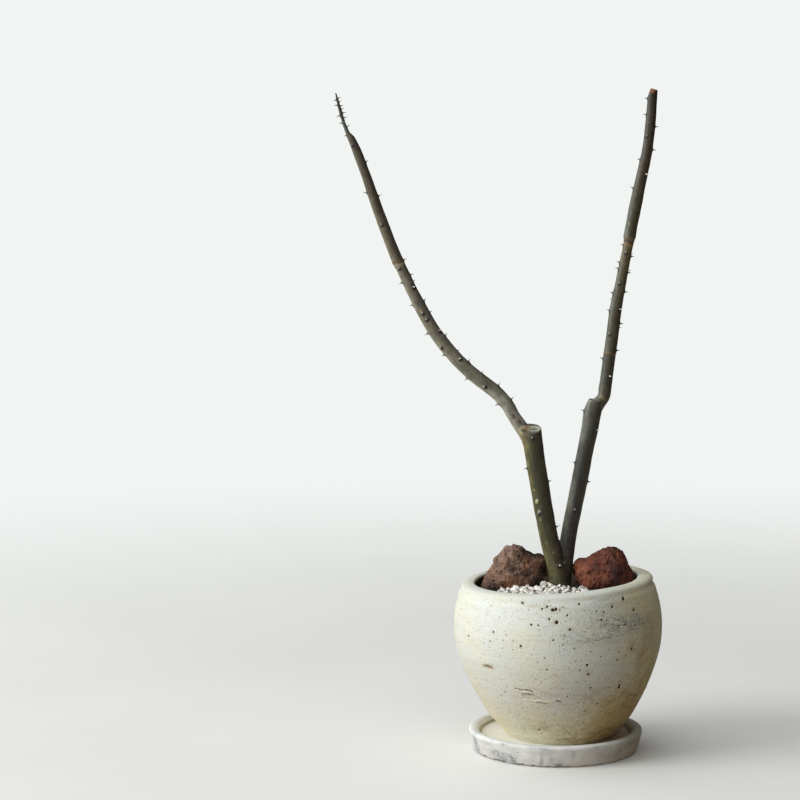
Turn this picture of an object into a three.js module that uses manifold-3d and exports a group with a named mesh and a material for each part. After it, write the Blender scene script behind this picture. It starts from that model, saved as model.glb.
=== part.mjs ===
// Potted Alluaudia dumosa: a forked thorny cutting in a round ceramic pot that stands on a saucer,
// with white gravel and two lava rocks on the soil.
// Millimetres, +Z up. The origin is the centre of the saucer's underside, X runs to the right as
// the plant is seen from its front, and Y runs away from the viewer.
import * as THREE from 'three';
import { mergeVertices } from 'three/addons/utils/BufferGeometryUtils.js';
import Module from 'manifold-3d';

const wasm = await Module();
wasm.setup();
const { Manifold, Mesh } = wasm;

// Clearance between pieces that fit one into another
const GAP = 0.3;
// Sides of the turned pieces
const TURNED_SIDES = 40;

// Saucer
const SAUCER_FOOT_RADIUS = 51.7;
const SAUCER_RIM_RADIUS = 54.8;
const SAUCER_RIM_WIDTH = 5.8;
const SAUCER_HEIGHT = 13.8;
const SAUCER_FLOOR = 9.5;
const SAUCER_FLOOR_RADIUS = 45;

// Pot: [radius, height] of its outside from the foot to the shoulder
const POT_OUTSIDE = [
  [32.9, 10.1], [36.7, 13], [40.9, 18], [45.6, 24], [50.4, 32], [55.6, 42],
  [60.5, 54], [64.2, 66], [65.5, 80], [64.3, 92], [62, 101], [59.9, 107],
];
// Rolled rim, from the shoulder over the top to the mouth
const POT_RIM = [[59.1, 108.2], [57.2, 109.1], [54.2, 109.5], [51.9, 109.2], [51.1, 107.8]];
// Inside, from the mouth down to the floor
const POT_INSIDE = [
  [51.3, 105.5], [53, 100.5], [55.8, 92], [57.6, 80], [56.8, 66], [53.6, 54],
  [48.9, 42], [43.6, 32], [38.6, 24], [34, 19.5], [29, 17],
];
const POT_FLOOR = 17;
const POT_FOOT_RING_WIDTH = 6;
const POT_FOOT_RECESS = 2.8;
const DRAIN_RADIUS = 6;
// The thrown pot isn't true: its foot is off centre, and its mouth rises to the right
const POT_FOOT_SHIFT = 3.3;
const POT_RIM_SLANT = 0.052;
const POT_RIM_HEIGHT = 109.5;

// Drain mesh
const MESH_SIZE = 20;
const MESH_THICKNESS = 0.8;
const MESH_CELLS = 3;
const MESH_BAR = 1.2;

// Soil and gravel
const SOIL_TOP = 101;
const GRAVEL_CENTRE = [-2, -14];
const GRAVEL_RADII = [41, 33];
const GRAVEL_TOP = 105.4;
const GRAVEL_STONES = 130;
const GRAVEL_REACH = 46.2;
const STONE_RADIUS = [2.2, 4];

// Plant: the trunk stands in a plain round hole
const TRUNK_X = 2.3;
const TRUNK_RADIUS = 7.3;
const TRUNK_FOOT = 66;
const TRUNK_COLLAR = 106;
const THORN_LENGTH = 2.7;
const THORN_RADIUS = 0.62;
const THORN_SINK = 0.9;
const THORN_LIFT = 0.12;

// Each limb is a list of stations [x, y, z, radius] from its root to its tip, and its thorns are
// [height, turn], where a turn of 0 degrees faces the viewer and 90 degrees faces right.
const LEFT_STEM = {
  sides: 12,
  stations: [
    [2.3, 0, 98, 6.6], [0.5, -0.5, 112, 6.3], [-1.4, -1, 122, 6], [-4.9, -1.5, 136, 5.8],
    [-7.8, -2, 151, 5.9], [-10.4, -2, 166, 5.9], [-13, -2, 181, 6], [-15.3, -2, 197, 6.1],
    [-16.4, -2, 209, 5.9],
  ],
  thorns: [[199, 0], [180, -80], [170, 80], [152, -30], [141, 80], [118, 25]],
};
const LEFT_SHOOT = {
  sides: 10,
  stations: [
    [-15.4, 1, 190.6, 3.4], [-18.8, 4, 198.1, 4.3], [-23.3, 4.4, 205, 4.3], [-27.1, 2.5, 211, 4],
    [-31.4, -0.5, 218.9, 4.1], [-38.4, -2.6, 226.8, 4.3], [-47.8, -3.5, 234.3, 4.4],
    [-56.8, -4, 241.8, 4.2], [-64.2, -4, 249.3, 4.2], [-76.3, -4.5, 264.3, 4],
    [-84.9, -5, 279.3, 3.8], [-92.5, -5, 294.2, 3.4], [-97.6, -5, 305, 3.3],
    [-99.6, -5, 309, 3.6], [-104.3, -5, 320.4, 3.4], [-113.9, -5, 346.5, 3.2],
    [-119.1, -5, 361.4, 2.9], [-124.6, -5, 376.2, 2.8], [-128.3, -5, 384.5, 2.3],
    [-130.2, -5, 387.3, 1.4], [-133.2, -4.5, 394.7, 1.05], [-135.3, -4, 402, 1.05],
    [-138, -4, 412.6, 0.5],
  ],
  thorns: [
    [409, 80], [408, -80], [405, -80], [404, 80], [400, 80], [399, -80], [397, 80], [394, -80],
    [391, 80], [387, -80], [381, -25], [369, 80], [352, -80], [348, 80], [332, -15], [308, 80],
    [305, -20], [299, 80], [297, -80], [292, 35], [283, -80], [282, 80], [277, -5], [273, 0],
    [266, -80], [264, 50], [260, 80], [257, -35], [253, -80], [247, 25], [243, 80], [239, -80],
    [232, -15], [228, 80], [222, -80], [220, 80],
  ],
};
const RIGHT_STEM = {
  sides: 12,
  stations: [
    [3.4, 1, 98, 5.1], [4.6, 1.5, 112, 5.2], [5.8, 2, 122, 5.1], [7.4, 2.5, 135, 5],
    [11.8, 3, 158, 5], [14.7, 3.5, 173, 5.1], [17.4, 4, 188.5, 5], [20.3, 4, 203.5, 5.3],
    [22, 4, 214.5, 5.6], [24.6, 4, 226, 5.5],
  ],
  thorns: [[214, -80], [204, 50], [181, -80], [171, 80], [153, 5]],
};
const RIGHT_SHOOT = {
  sides: 10,
  stations: [
    [22.3, 4, 213.5, 4.1], [25.6, 4, 219.3, 4.2], [28.5, 4.5, 223.8, 4.2], [30, 5, 232, 3.9],
    [32.1, 5.5, 249, 3.9], [34.1, 6, 264, 3.8], [35.9, 6, 279, 3.8], [38.6, 6, 294, 3.4],
    [42.1, 6, 313, 3.1], [43.5, 6, 320.4, 3.1], [44.1, 6, 324.2, 4], [45.3, 6, 331.7, 3.8],
    [48.1, 6, 346.4, 3.8], [51.1, 5.5, 361.2, 3.6], [54.1, 5, 376, 3.3], [56.2, 5, 394.6, 3.2],
    [57.5, 5, 417, 3],
  ],
  thorns: [
    [409, -80], [399, -80], [392, 80], [386, -25], [378, 80], [371, -80], [363, 35], [353, -80],
    [318, -80], [314, -10], [312, 80], [307, -80], [303, 55], [303, -80], [302, 80], [295, -15],
    [290, 80], [288, -80], [279, 40], [277, -80], [270, 80], [263, -30], [253, 80], [247, -80],
    [237, 25],
  ],
};
// The left stem widens under the shoot that it carries
const LEFT_FLARE = {
  sides: 12,
  stations: [
    [-14.8, -2.3, 188, 4.2], [-16.8, -2.7, 194, 4.4], [-17.9, -3, 198, 4.6],
    [-18.6, -3.2, 201.5, 5], [-18.7, -3.2, 204.5, 4.6], [-18.6, -3.2, 208, 4.2],
  ],
};
// Cuts through the stems: a point of the cut and the direction that it faces
const LEFT_CUT = { at: [-16, -2, 204.4], faces: [0.02, -0.37, 0.93] };
const RIGHT_CUT = { at: [22, 4, 221.7], faces: [0, -0.05, 1] };
const RIGHT_BEVEL = { at: [18.2, 4, 218.4], faces: [-0.91, -0.05, 0.41] };
const RIGHT_TIP_CUT = { at: [57.4, 5, 415], faces: [0.25, -0.05, 0.97] };
const RIGHT_TIP_BEVEL = { at: [56, 5, 415.3], faces: [-0.945, 0, 0.327] };

// Lava rocks: the front outline is [x, z] from the centre, and depth is half the size along Y
const LEFT_ROCK = {
  centre: [-27.5, 2, 113],
  depth: 15.5,
  seed: 1.7,
  outline: [
    [20.4, -9], [20.6, -0.9], [20.2, 4.8], [18.8, 9.5], [14.2, 11.3], [8.6, 13.3], [3.2, 16.1],
    [0.1, 17], [-1.5, 16], [-6.3, 14.8], [-9.9, 9.8], [-12.7, 6.1], [-14.1, 1.2], [-16, -1.2],
    [-18.7, -6.6], [-19.8, -12], [-8, -16.5], [8, -16.5],
  ],
};
const RIGHT_ROCK = {
  centre: [31.3, 3, 113],
  depth: 15,
  seed: 4.1,
  outline: [
    [18, -10], [17.6, -3], [16.3, 1.5], [13.4, 6.8], [11.4, 12], [7.3, 16], [3.7, 16.6],
    [-0.2, 16], [-6.6, 12.8], [-13.8, 8.6], [-17.6, 8.4], [-19.6, 6.8], [-20.4, 3.1],
    [-20.4, -1], [-19, -9], [-17, -12.5], [-6, -16.5], [9, -16.5],
  ],
};
const ROCK_DETAIL = 4;

// Seeded random numbers from 0 to 1
function randomFrom(seed) {
  let state = seed;
  return () => {
    state = (state * 1664525 + 1013904223) % 4294967296;
    return state / 4294967296;
  };
}

// A closed solid from a three.js geometry
function solid(geometry) {
  geometry.deleteAttribute('normal');
  geometry.deleteAttribute('uv');
  const merged = mergeVertices(geometry, 1e-4);
  return new Manifold(new Mesh({
    numProp: 3,
    vertProperties: new Float32Array(merged.attributes.position.array),
    triVerts: new Uint32Array(merged.index.array),
  }));
}

// A three.js geometry from the largest body of a solid: hollows sealed inside it are left filled
function geometryOf(shape) {
  const bodies = shape.decompose().sort((a, b) => b.volume() - a.volume());
  const mesh = bodies[0].getMesh();
  const geometry = new THREE.BufferGeometry();
  geometry.setAttribute('position', new THREE.BufferAttribute(mesh.vertProperties, 3));
  geometry.setIndex(new THREE.BufferAttribute(mesh.triVerts, 1));
  const flat = geometry.toNonIndexed();
  flat.computeVertexNormals();
  return flat;
}

// A solid of revolution about +Z from a profile of [radius, height]
function turned(profile, sides = TURNED_SIDES) {
  const points = profile.map(([radius, height]) => new THREE.Vector2(radius, height));
  const geometry = new THREE.LatheGeometry(points, sides);
  geometry.rotateX(Math.PI / 2);
  return geometry;
}

// Moves a turned piece of the pot off true: the foot shifts right, and heights rise to the right
function thrown(geometry) {
  const position = geometry.attributes.position;
  for (let i = 0; i < position.count; i += 1) {
    const rise = Math.max(0, position.getZ(i) - POT_FLOOR) / (POT_RIM_HEIGHT - POT_FLOOR);
    const x = position.getX(i);
    position.setX(i, x + POT_FOOT_SHIFT * (1 - rise));
    position.setZ(i, position.getZ(i) + POT_RIM_SLANT * rise * x);
  }
  return geometry;
}

function buildSaucer() {
  const wall = SAUCER_RIM_RADIUS - SAUCER_RIM_WIDTH;
  return solid(turned([
    [0, 0],
    [SAUCER_FOOT_RADIUS - 1, 0],
    [SAUCER_FOOT_RADIUS, 1],
    [SAUCER_RIM_RADIUS, SAUCER_HEIGHT - 1],
    [SAUCER_RIM_RADIUS - 0.8, SAUCER_HEIGHT],
    [wall + 0.5, SAUCER_HEIGHT],
    [wall, SAUCER_HEIGHT - 0.5],
    [SAUCER_FLOOR_RADIUS, SAUCER_FLOOR],
    [0, SAUCER_FLOOR],
  ]));
}

function buildPot() {
  const recess = SAUCER_FLOOR + POT_FOOT_RECESS;
  const footEdge = POT_OUTSIDE[0][0] - 0.9;
  return solid(thrown(turned([
    [footEdge, SAUCER_FLOOR],
    ...POT_OUTSIDE,
    ...POT_RIM,
    ...POT_INSIDE,
    [DRAIN_RADIUS, POT_FLOOR],
    [DRAIN_RADIUS, recess],
    [footEdge - POT_FOOT_RING_WIDTH - 1, recess],
    [footEdge - POT_FOOT_RING_WIDTH, SAUCER_FLOOR],
    [footEdge, SAUCER_FLOOR],
  ])));
}

function buildDrainMesh() {
  const pitch = (MESH_SIZE - MESH_BAR) / MESH_CELLS;
  const plate = new THREE.BoxGeometry(MESH_SIZE, MESH_SIZE, MESH_THICKNESS);
  let mesh = solid(plate);
  for (let column = 0; column < MESH_CELLS; column += 1) {
    for (let row = 0; row < MESH_CELLS; row += 1) {
      const cell = new THREE.BoxGeometry(pitch - MESH_BAR, pitch - MESH_BAR, 3 * MESH_THICKNESS);
      const x = (column - (MESH_CELLS - 1) / 2) * pitch;
      const y = (row - (MESH_CELLS - 1) / 2) * pitch;
      cell.translate(x, y, 0);
      mesh = mesh.subtract(solid(cell));
    }
  }
  return mesh.translate([POT_FOOT_SHIFT, 0, POT_FLOOR + MESH_THICKNESS / 2]);
}

function buildSoil() {
  const meshRoom = MESH_SIZE * Math.SQRT1_2 + 1;
  const wall = POT_INSIDE.slice(1).map(([radius, height]) => [radius - GAP - 0.1, height]).reverse();
  const filled = solid(thrown(turned([
    [0, POT_FLOOR + MESH_THICKNESS + GAP],
    [meshRoom, POT_FLOOR + MESH_THICKNESS + GAP],
    [meshRoom, POT_FLOOR],
    ...wall,
    [wall.at(-1)[0] - 2, POT_RIM_HEIGHT],
    [0, POT_RIM_HEIGHT],
  ])));
  return filled.trimByPlane([0, 0, -1], -SOIL_TOP).subtract(trunkHole());
}

// The plain round hole that the trunk stands in, through the soil and the gravel
function trunkHole() {
  const height = POT_RIM_HEIGHT - TRUNK_FOOT;
  const hole = new THREE.CylinderGeometry(TRUNK_RADIUS + GAP, TRUNK_RADIUS + GAP, height, 24);
  hole.rotateX(Math.PI / 2);
  hole.translate(TRUNK_X, 0, TRUNK_FOOT + height / 2);
  return solid(hole);
}

// Distance of a direction's end from the centre on a closed outline of [x, z]
function outlineReach(outline, angle) {
  const polar = outline
    .map(([x, z]) => ({ angle: Math.atan2(z, x), reach: Math.hypot(x, z) }))
    .sort((a, b) => a.angle - b.angle);
  const last = polar.at(-1);
  const first = polar[0];
  const ring = [{ angle: last.angle - 2 * Math.PI, reach: last.reach }, ...polar,
    { angle: first.angle + 2 * Math.PI, reach: first.reach }];
  const next = ring.findIndex((point) => point.angle > angle);
  const before = ring[next - 1];
  const after = ring[next];
  const share = (angle - before.angle) / (after.angle - before.angle);
  return before.reach + (after.reach - before.reach) * share;
}

// Pits and lumps of the lava, as a share of the radius
function lavaRoughness(direction, seed) {
  const { x, y, z } = direction;
  const lumps = Math.sin(5.3 * x + seed) * Math.sin(4.7 * y + 2 * seed) * Math.sin(5.9 * z - seed);
  const pits = Math.sin(13 * x + 3 * seed) * Math.sin(12 * y - seed) + Math.sin(14 * z + 9 * y);
  return 0.97 + 0.06 * lumps + 0.02 * pits;
}

function rockShape({ centre, outline, depth, seed }) {
  const geometry = new THREE.IcosahedronGeometry(1, ROCK_DETAIL);
  const position = geometry.attributes.position;
  const direction = new THREE.Vector3();
  for (let i = 0; i < position.count; i += 1) {
    direction.fromBufferAttribute(position, i).normalize();
    const reach = outlineReach(outline, Math.atan2(direction.z, direction.x));
    const rough = lavaRoughness(direction, seed);
    position.setXYZ(i, direction.x * reach * rough, direction.y * depth * rough, direction.z * reach * rough);
  }
  return solid(geometry).translate(centre);
}

function buildRock(rock) {
  return rockShape(rock).trimByPlane([0, 0, 1], SOIL_TOP);
}

// The room that a rock takes up in the gravel
function rockPocket(rock) {
  const swell = 1 + GAP / 14;
  const [x, y, z] = rock.centre;
  return rockShape({ ...rock, centre: [0, 0, 0] }).scale(swell).translate([x, y, z]);
}

function underRock({ centre, depth }, x, y) {
  const halfWidth = 17;
  return ((x - centre[0]) / halfWidth) ** 2 + ((y - centre[1]) / (depth - 2)) ** 2 < 1;
}

function gravelStone(random, x, y, z) {
  const [smallest, largest] = STONE_RADIUS;
  const radius = smallest + (largest - smallest) * random();
  const stone = new THREE.IcosahedronGeometry(radius, 0);
  stone.scale(1, 0.65 + 0.3 * random(), 0.6 + 0.3 * random());
  stone.rotateX(random() * Math.PI);
  stone.rotateY(random() * Math.PI);
  stone.rotateZ(random() * Math.PI);
  stone.translate(x, y, z + 0.2 * radius);
  return solid(stone);
}

// Loose angular stones, spread by a sunflower spiral over a low mound of the same gravel
function buildGravel() {
  const random = randomFrom(7);
  const [centreX, centreY] = GRAVEL_CENTRE;
  const [radiusX, radiusY] = GRAVEL_RADII;
  const mound = turned([
    [0, SOIL_TOP],
    [1, SOIL_TOP],
    [1, SOIL_TOP + 1],
    [0.75, GRAVEL_TOP - 1.5],
    [0.3, GRAVEL_TOP],
    [0, GRAVEL_TOP],
  ], 32);
  mound.scale(radiusX, radiusY, 1);
  mound.translate(centreX, centreY, 0);
  const pieces = [solid(mound)];
  const goldenAngle = Math.PI * (3 - Math.sqrt(5));
  for (let i = 0; i < GRAVEL_STONES; i += 1) {
    const spread = 0.96 * Math.sqrt((i + 0.5) / GRAVEL_STONES);
    const angle = i * goldenAngle;
    const x = centreX + radiusX * spread * Math.cos(angle) + 1.6 * (random() - 0.5);
    const y = centreY + radiusY * spread * Math.sin(angle) + 1.6 * (random() - 0.5);
    if (underRock(LEFT_ROCK, x, y) || underRock(RIGHT_ROCK, x, y)) continue;
    if (Math.hypot(x, y) > GRAVEL_REACH) continue;
    const fall = 3.4 * Math.max(0, spread - 0.4);
    pieces.push(gravelStone(random, x, y, GRAVEL_TOP - fall));
  }
  return Manifold.union(pieces)
    .trimByPlane([0, 0, 1], SOIL_TOP)
    .subtract(trunkHole())
    .subtract(rockPocket(LEFT_ROCK))
    .subtract(rockPocket(RIGHT_ROCK));
}

// The centre line of a limb, with its radius and its directions across at a share of its length
function limbPath({ stations }) {
  const curve = new THREE.CatmullRomCurve3(stations.map(([x, y, z]) => new THREE.Vector3(x, y, z)));
  const away = new THREE.Vector3(0, 1, 0);
  return (share) => {
    const place = Math.min(share, 0.99999) * (stations.length - 1);
    const index = Math.floor(place);
    const radius = THREE.MathUtils.lerp(stations[index][3], stations[index + 1][3], place - index);
    const tangent = curve.getTangent(share);
    const right = new THREE.Vector3().crossVectors(away, tangent).normalize();
    const front = new THREE.Vector3().crossVectors(right, tangent);
    return { centre: curve.getPoint(share), radius, tangent, right, front };
  };
}

// A round limb that tapers along its stations
function limb(shape) {
  const at = limbPath(shape);
  const rings = 2 * (shape.stations.length - 1);
  const geometry = new THREE.CylinderGeometry(1, 1, 1, shape.sides, rings);
  const position = geometry.attributes.position;
  for (let i = 0; i < position.count; i += 1) {
    const { centre, radius, right, front } = at(THREE.MathUtils.clamp(position.getY(i) + 0.5, 0, 1));
    centre.addScaledVector(right, radius * position.getX(i));
    centre.addScaledVector(front, radius * position.getZ(i));
    position.setXYZ(i, centre.x, centre.y, centre.z);
  }
  return solid(geometry);
}

// The share of a limb's length at which its centre line reaches a height
function shareAtHeight(at, height) {
  let low = 0;
  let high = 1;
  for (let step = 0; step < 24; step += 1) {
    const middle = (low + high) / 2;
    if (at(middle).centre.z < height) low = middle;
    else high = middle;
  }
  return low;
}

function thorn(at, height, turn) {
  const { centre, radius, tangent, right, front } = at(shareAtHeight(at, height));
  const angle = THREE.MathUtils.degToRad(turn);
  const across = new THREE.Vector3()
    .addScaledVector(right, Math.sin(angle))
    .addScaledVector(front, Math.cos(angle));
  const outward = across.clone().addScaledVector(tangent, THORN_LIFT).normalize();
  const length = THORN_LENGTH * Math.min(1, 0.5 + radius / 6) + THORN_SINK;
  const cone = new THREE.ConeGeometry(THORN_RADIUS, length, 3);
  cone.applyQuaternion(new THREE.Quaternion().setFromUnitVectors(new THREE.Vector3(0, 1, 0), outward));
  centre.addScaledVector(across, Math.max(0, radius - THORN_SINK)).addScaledVector(outward, length / 2);
  cone.translate(centre.x, centre.y, centre.z);
  return solid(cone);
}

// The thorns seen from the front, and one for each on the far side of the limb, half a step on
function thornsOf(shape, random) {
  const at = limbPath(shape);
  const front = shape.thorns.map(([height, turn]) => thorn(at, height, turn));
  const back = shape.thorns.slice(1).map(([height], index) => {
    const middle = (height + shape.thorns[index][0]) / 2;
    return thorn(at, middle, 180 + 110 * (random() - 0.5));
  });
  return [...front, ...back];
}

function cutOff(shape, { at, faces }) {
  const normal = new THREE.Vector3(...faces).normalize();
  const offset = normal.dot(new THREE.Vector3(...at));
  return shape.trimByPlane([-normal.x, -normal.y, -normal.z], -offset);
}

function buildPlant() {
  const random = randomFrom(11);
  const height = TRUNK_COLLAR - TRUNK_FOOT;
  const trunk = new THREE.CylinderGeometry(TRUNK_RADIUS - 0.6, TRUNK_RADIUS, height, 20);
  trunk.rotateX(Math.PI / 2);
  trunk.translate(TRUNK_X, 0, TRUNK_FOOT + height / 2);
  return Manifold.union([
    solid(trunk),
    cutOff(limb(LEFT_STEM), LEFT_CUT),
    cutOff(limb(LEFT_FLARE), LEFT_CUT),
    limb(LEFT_SHOOT),
    cutOff(cutOff(limb(RIGHT_STEM), RIGHT_CUT), RIGHT_BEVEL),
    cutOff(cutOff(limb(RIGHT_SHOOT), RIGHT_TIP_CUT), RIGHT_TIP_BEVEL),
    ...[LEFT_STEM, LEFT_SHOOT, RIGHT_STEM, RIGHT_SHOOT].flatMap((shape) => thornsOf(shape, random)),
  ]);
}

const group = new THREE.Group();

function addPiece(name, shape, color, roughness) {
  const material = new THREE.MeshStandardMaterial({ color, roughness, metalness: 0 });
  const mesh = new THREE.Mesh(geometryOf(shape), material);
  mesh.name = name;
  group.add(mesh);
}

addPiece('saucer', buildSaucer(), 0xd6d5d0, 0.75);
addPiece('pot', buildPot(), 0xd9d8c6, 0.7);
addPiece('drain_mesh', buildDrainMesh(), 0x2b2b2b, 0.6);
addPiece('soil', buildSoil(), 0x2e2620, 0.95);
addPiece('gravel', buildGravel(), 0xe4e2dd, 0.85);
addPiece('lava_rock_left', buildRock(LEFT_ROCK), 0x5a3a33, 0.95);
addPiece('lava_rock_right', buildRock(RIGHT_ROCK), 0x5c2f27, 0.95);
addPiece('plant', buildPlant(), 0x4b4d40, 0.7);

export default group;
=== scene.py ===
import bisect
import math

import bmesh
import bpy
import numpy as np
from mathutils import Matrix, Quaternion, Vector, noise


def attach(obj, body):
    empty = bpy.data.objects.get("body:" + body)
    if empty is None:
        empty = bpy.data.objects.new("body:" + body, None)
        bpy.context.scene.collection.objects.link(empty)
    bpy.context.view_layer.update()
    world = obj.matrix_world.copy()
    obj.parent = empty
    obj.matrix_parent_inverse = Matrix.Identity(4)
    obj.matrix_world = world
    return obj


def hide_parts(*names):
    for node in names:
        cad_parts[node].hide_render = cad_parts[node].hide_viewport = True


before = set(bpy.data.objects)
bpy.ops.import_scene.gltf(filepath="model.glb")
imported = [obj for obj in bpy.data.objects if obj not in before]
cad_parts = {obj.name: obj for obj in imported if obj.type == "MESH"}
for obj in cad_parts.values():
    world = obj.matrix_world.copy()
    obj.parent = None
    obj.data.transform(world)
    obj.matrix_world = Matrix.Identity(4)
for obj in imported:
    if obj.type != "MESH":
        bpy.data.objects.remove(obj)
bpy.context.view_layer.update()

# Metres. The origin is the centre of the saucer's underside, X runs right and Y away from the
# viewer. Shapes are worked out in millimetres and scaled when their mesh is made. Colours are
# red, green and blue in thousandths.
MM = 0.001

# Sizes and places, the same as those of the solids, in millimetres
SAUCER_FOOT_RADIUS = 51.7
SAUCER_RIM_RADIUS = 54.8
SAUCER_RIM_WIDTH = 5.8
SAUCER_HEIGHT = 13.8
SAUCER_FLOOR = 9.5
SAUCER_FLOOR_RADIUS = 45.0

POT_OUTSIDE = [
    (32.9, 10.1), (36.7, 13), (40.9, 18), (45.6, 24), (50.4, 32), (55.6, 42), (60.5, 54), (64.2, 66),
    (65.5, 80), (64.3, 92), (62, 101), (59.9, 107),
]
POT_RIM = [(59.1, 108.2), (57.2, 109.1), (54.2, 109.5), (51.9, 109.2), (51.1, 107.8)]
POT_INSIDE = [
    (51.3, 105.5), (53, 100.5), (55.8, 92), (57.6, 80), (56.8, 66), (53.6, 54), (48.9, 42), (43.6, 32),
    (38.6, 24), (34, 19.5), (29, 17),
]
POT_FLOOR = 17.0
POT_FOOT_RING_WIDTH = 6.0
POT_FOOT_RECESS = 2.8
DRAIN_RADIUS = 6.0
POT_FOOT_SHIFT = 3.3
POT_RIM_SLANT = 0.052
POT_RIM_HEIGHT = 109.5

SOIL_TOP = 101.0
GRAVEL_CENTRE = (-2.0, -14.0)
GRAVEL_RADII = (41.0, 33.0)
GRAVEL_TOP = 105.4
GRAVEL_REACH = 46.2

TRUNK_X = 2.3
TRUNK_RADIUS = 7.3
TRUNK_FOOT = 66.0
TRUNK_COLLAR = 106.0
THORN_LENGTH = 2.7
THORN_SINK = 0.9
THORN_LIFT = 0.12

LEFT_STEM = {
    "name": "left_stem",
    "stations": [
        (2.3, 0, 98, 6.6), (0.5, -0.5, 112, 6.3), (-1.4, -1, 122, 6), (-4.9, -1.5, 136, 5.8),
        (-7.8, -2, 151, 5.9), (-10.4, -2, 166, 5.9), (-13, -2, 181, 6), (-15.3, -2, 197, 6.1),
        (-16.4, -2, 209, 5.9),
    ],
    "thorns": [(199, 0), (180, -80), (170, 80), (152, -30), (141, 80), (118, 25)],
}
LEFT_SHOOT = {
    "name": "left_shoot",
    "stations": [
        (-15.4, 1, 190.6, 3.4), (-18.8, 4, 198.1, 4.3), (-23.3, 4.4, 205, 4.3), (-27.1, 2.5, 211, 4),
        (-31.4, -0.5, 218.9, 4.1), (-38.4, -2.6, 226.8, 4.3), (-47.8, -3.5, 234.3, 4.4),
        (-56.8, -4, 241.8, 4.2), (-64.2, -4, 249.3, 4.2), (-76.3, -4.5, 264.3, 4), (-84.9, -5, 279.3, 3.8),
        (-92.5, -5, 294.2, 3.4), (-97.6, -5, 305, 3.3), (-99.6, -5, 309, 3.6), (-104.3, -5, 320.4, 3.4),
        (-113.9, -5, 346.5, 3.2), (-119.1, -5, 361.4, 2.9), (-124.6, -5, 376.2, 2.8),
        (-128.3, -5, 384.5, 2.3), (-130.2, -5, 387.3, 1.4), (-133.2, -4.5, 394.7, 1.05),
        (-135.3, -4, 402, 1.05), (-138, -4, 412.6, 0.5),
    ],
    "thorns": [
        (409, 80), (408, -80), (405, -80), (404, 80), (400, 80), (399, -80), (397, 80), (394, -80),
        (391, 80), (387, -80), (381, -25), (369, 80), (352, -80), (348, 80), (332, -15), (308, 80),
        (305, -20), (299, 80), (297, -80), (292, 35), (283, -80), (282, 80), (277, -5), (273, 0),
        (266, -80), (264, 50), (260, 80), (257, -35), (253, -80), (247, 25), (243, 80), (239, -80),
        (232, -15), (228, 80), (222, -80), (220, 80),
    ],
}
RIGHT_STEM = {
    "name": "right_stem",
    "stations": [
        (3.4, 1, 98, 5.1), (4.6, 1.5, 112, 5.2), (5.8, 2, 122, 5.1), (7.4, 2.5, 135, 5), (11.8, 3, 158, 5),
        (14.7, 3.5, 173, 5.1), (17.4, 4, 188.5, 5), (20.3, 4, 203.5, 5.3), (22, 4, 214.5, 5.6),
        (24.6, 4, 226, 5.5),
    ],
    "thorns": [(214, -80), (204, 50), (181, -80), (171, 80), (153, 5)],
}
RIGHT_SHOOT = {
    "name": "right_shoot",
    "stations": [
        (22.3, 4, 213.5, 4.1), (25.6, 4, 219.3, 4.2), (28.5, 4.5, 223.8, 4.2), (30, 5, 232, 3.9),
        (32.1, 5.5, 249, 3.9), (34.1, 6, 264, 3.8), (35.9, 6, 279, 3.8), (38.6, 6, 294, 3.4),
        (42.1, 6, 313, 3.1), (43.5, 6, 320.4, 3.1), (44.1, 6, 324.2, 4), (45.3, 6, 331.7, 3.8),
        (48.1, 6, 346.4, 3.8), (51.1, 5.5, 361.2, 3.6), (54.1, 5, 376, 3.3), (56.2, 5, 394.6, 3.2),
        (57.5, 5, 417, 3),
    ],
    "thorns": [
        (409, -80), (399, -80), (392, 80), (386, -25), (378, 80), (371, -80), (363, 35), (353, -80),
        (318, -80), (314, -10), (312, 80), (307, -80), (303, 55), (303, -80), (302, 80), (295, -15),
        (290, 80), (288, -80), (279, 40), (277, -80), (270, 80), (263, -30), (253, 80), (247, -80),
        (237, 25),
    ],
}
LEFT_FLARE = {
    "name": "left_flare",
    "stations": [
        (-14.8, -2.3, 188, 4.2), (-16.8, -2.7, 194, 4.4), (-17.9, -3, 198, 4.6), (-18.6, -3.2, 201.5, 5),
        (-18.7, -3.2, 204.5, 4.6), (-18.6, -3.2, 208, 4.2),
    ],
    "thorns": [],
}
LIMBS = [LEFT_STEM, LEFT_FLARE, LEFT_SHOOT, RIGHT_STEM, RIGHT_SHOOT]
LEFT_CUT = {"at": (-16, -2, 204.4), "faces": (0.02, -0.37, 0.93)}
RIGHT_CUT = {"at": (22, 4, 221.7), "faces": (0, -0.05, 1)}
RIGHT_BEVEL = {"at": (18.2, 4, 218.4), "faces": (-0.91, -0.05, 0.41)}
RIGHT_TIP_CUT = {"at": (57.4, 5, 415), "faces": (0.25, -0.05, 0.97)}
RIGHT_TIP_BEVEL = {"at": (56, 5, 415.3), "faces": (-0.945, 0, 0.327)}
CUTS = {
    "left_stem": [LEFT_CUT],
    "left_flare": [LEFT_CUT],
    "right_stem": [RIGHT_CUT, RIGHT_BEVEL],
    "right_shoot": [RIGHT_TIP_CUT, RIGHT_TIP_BEVEL],
}

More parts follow.
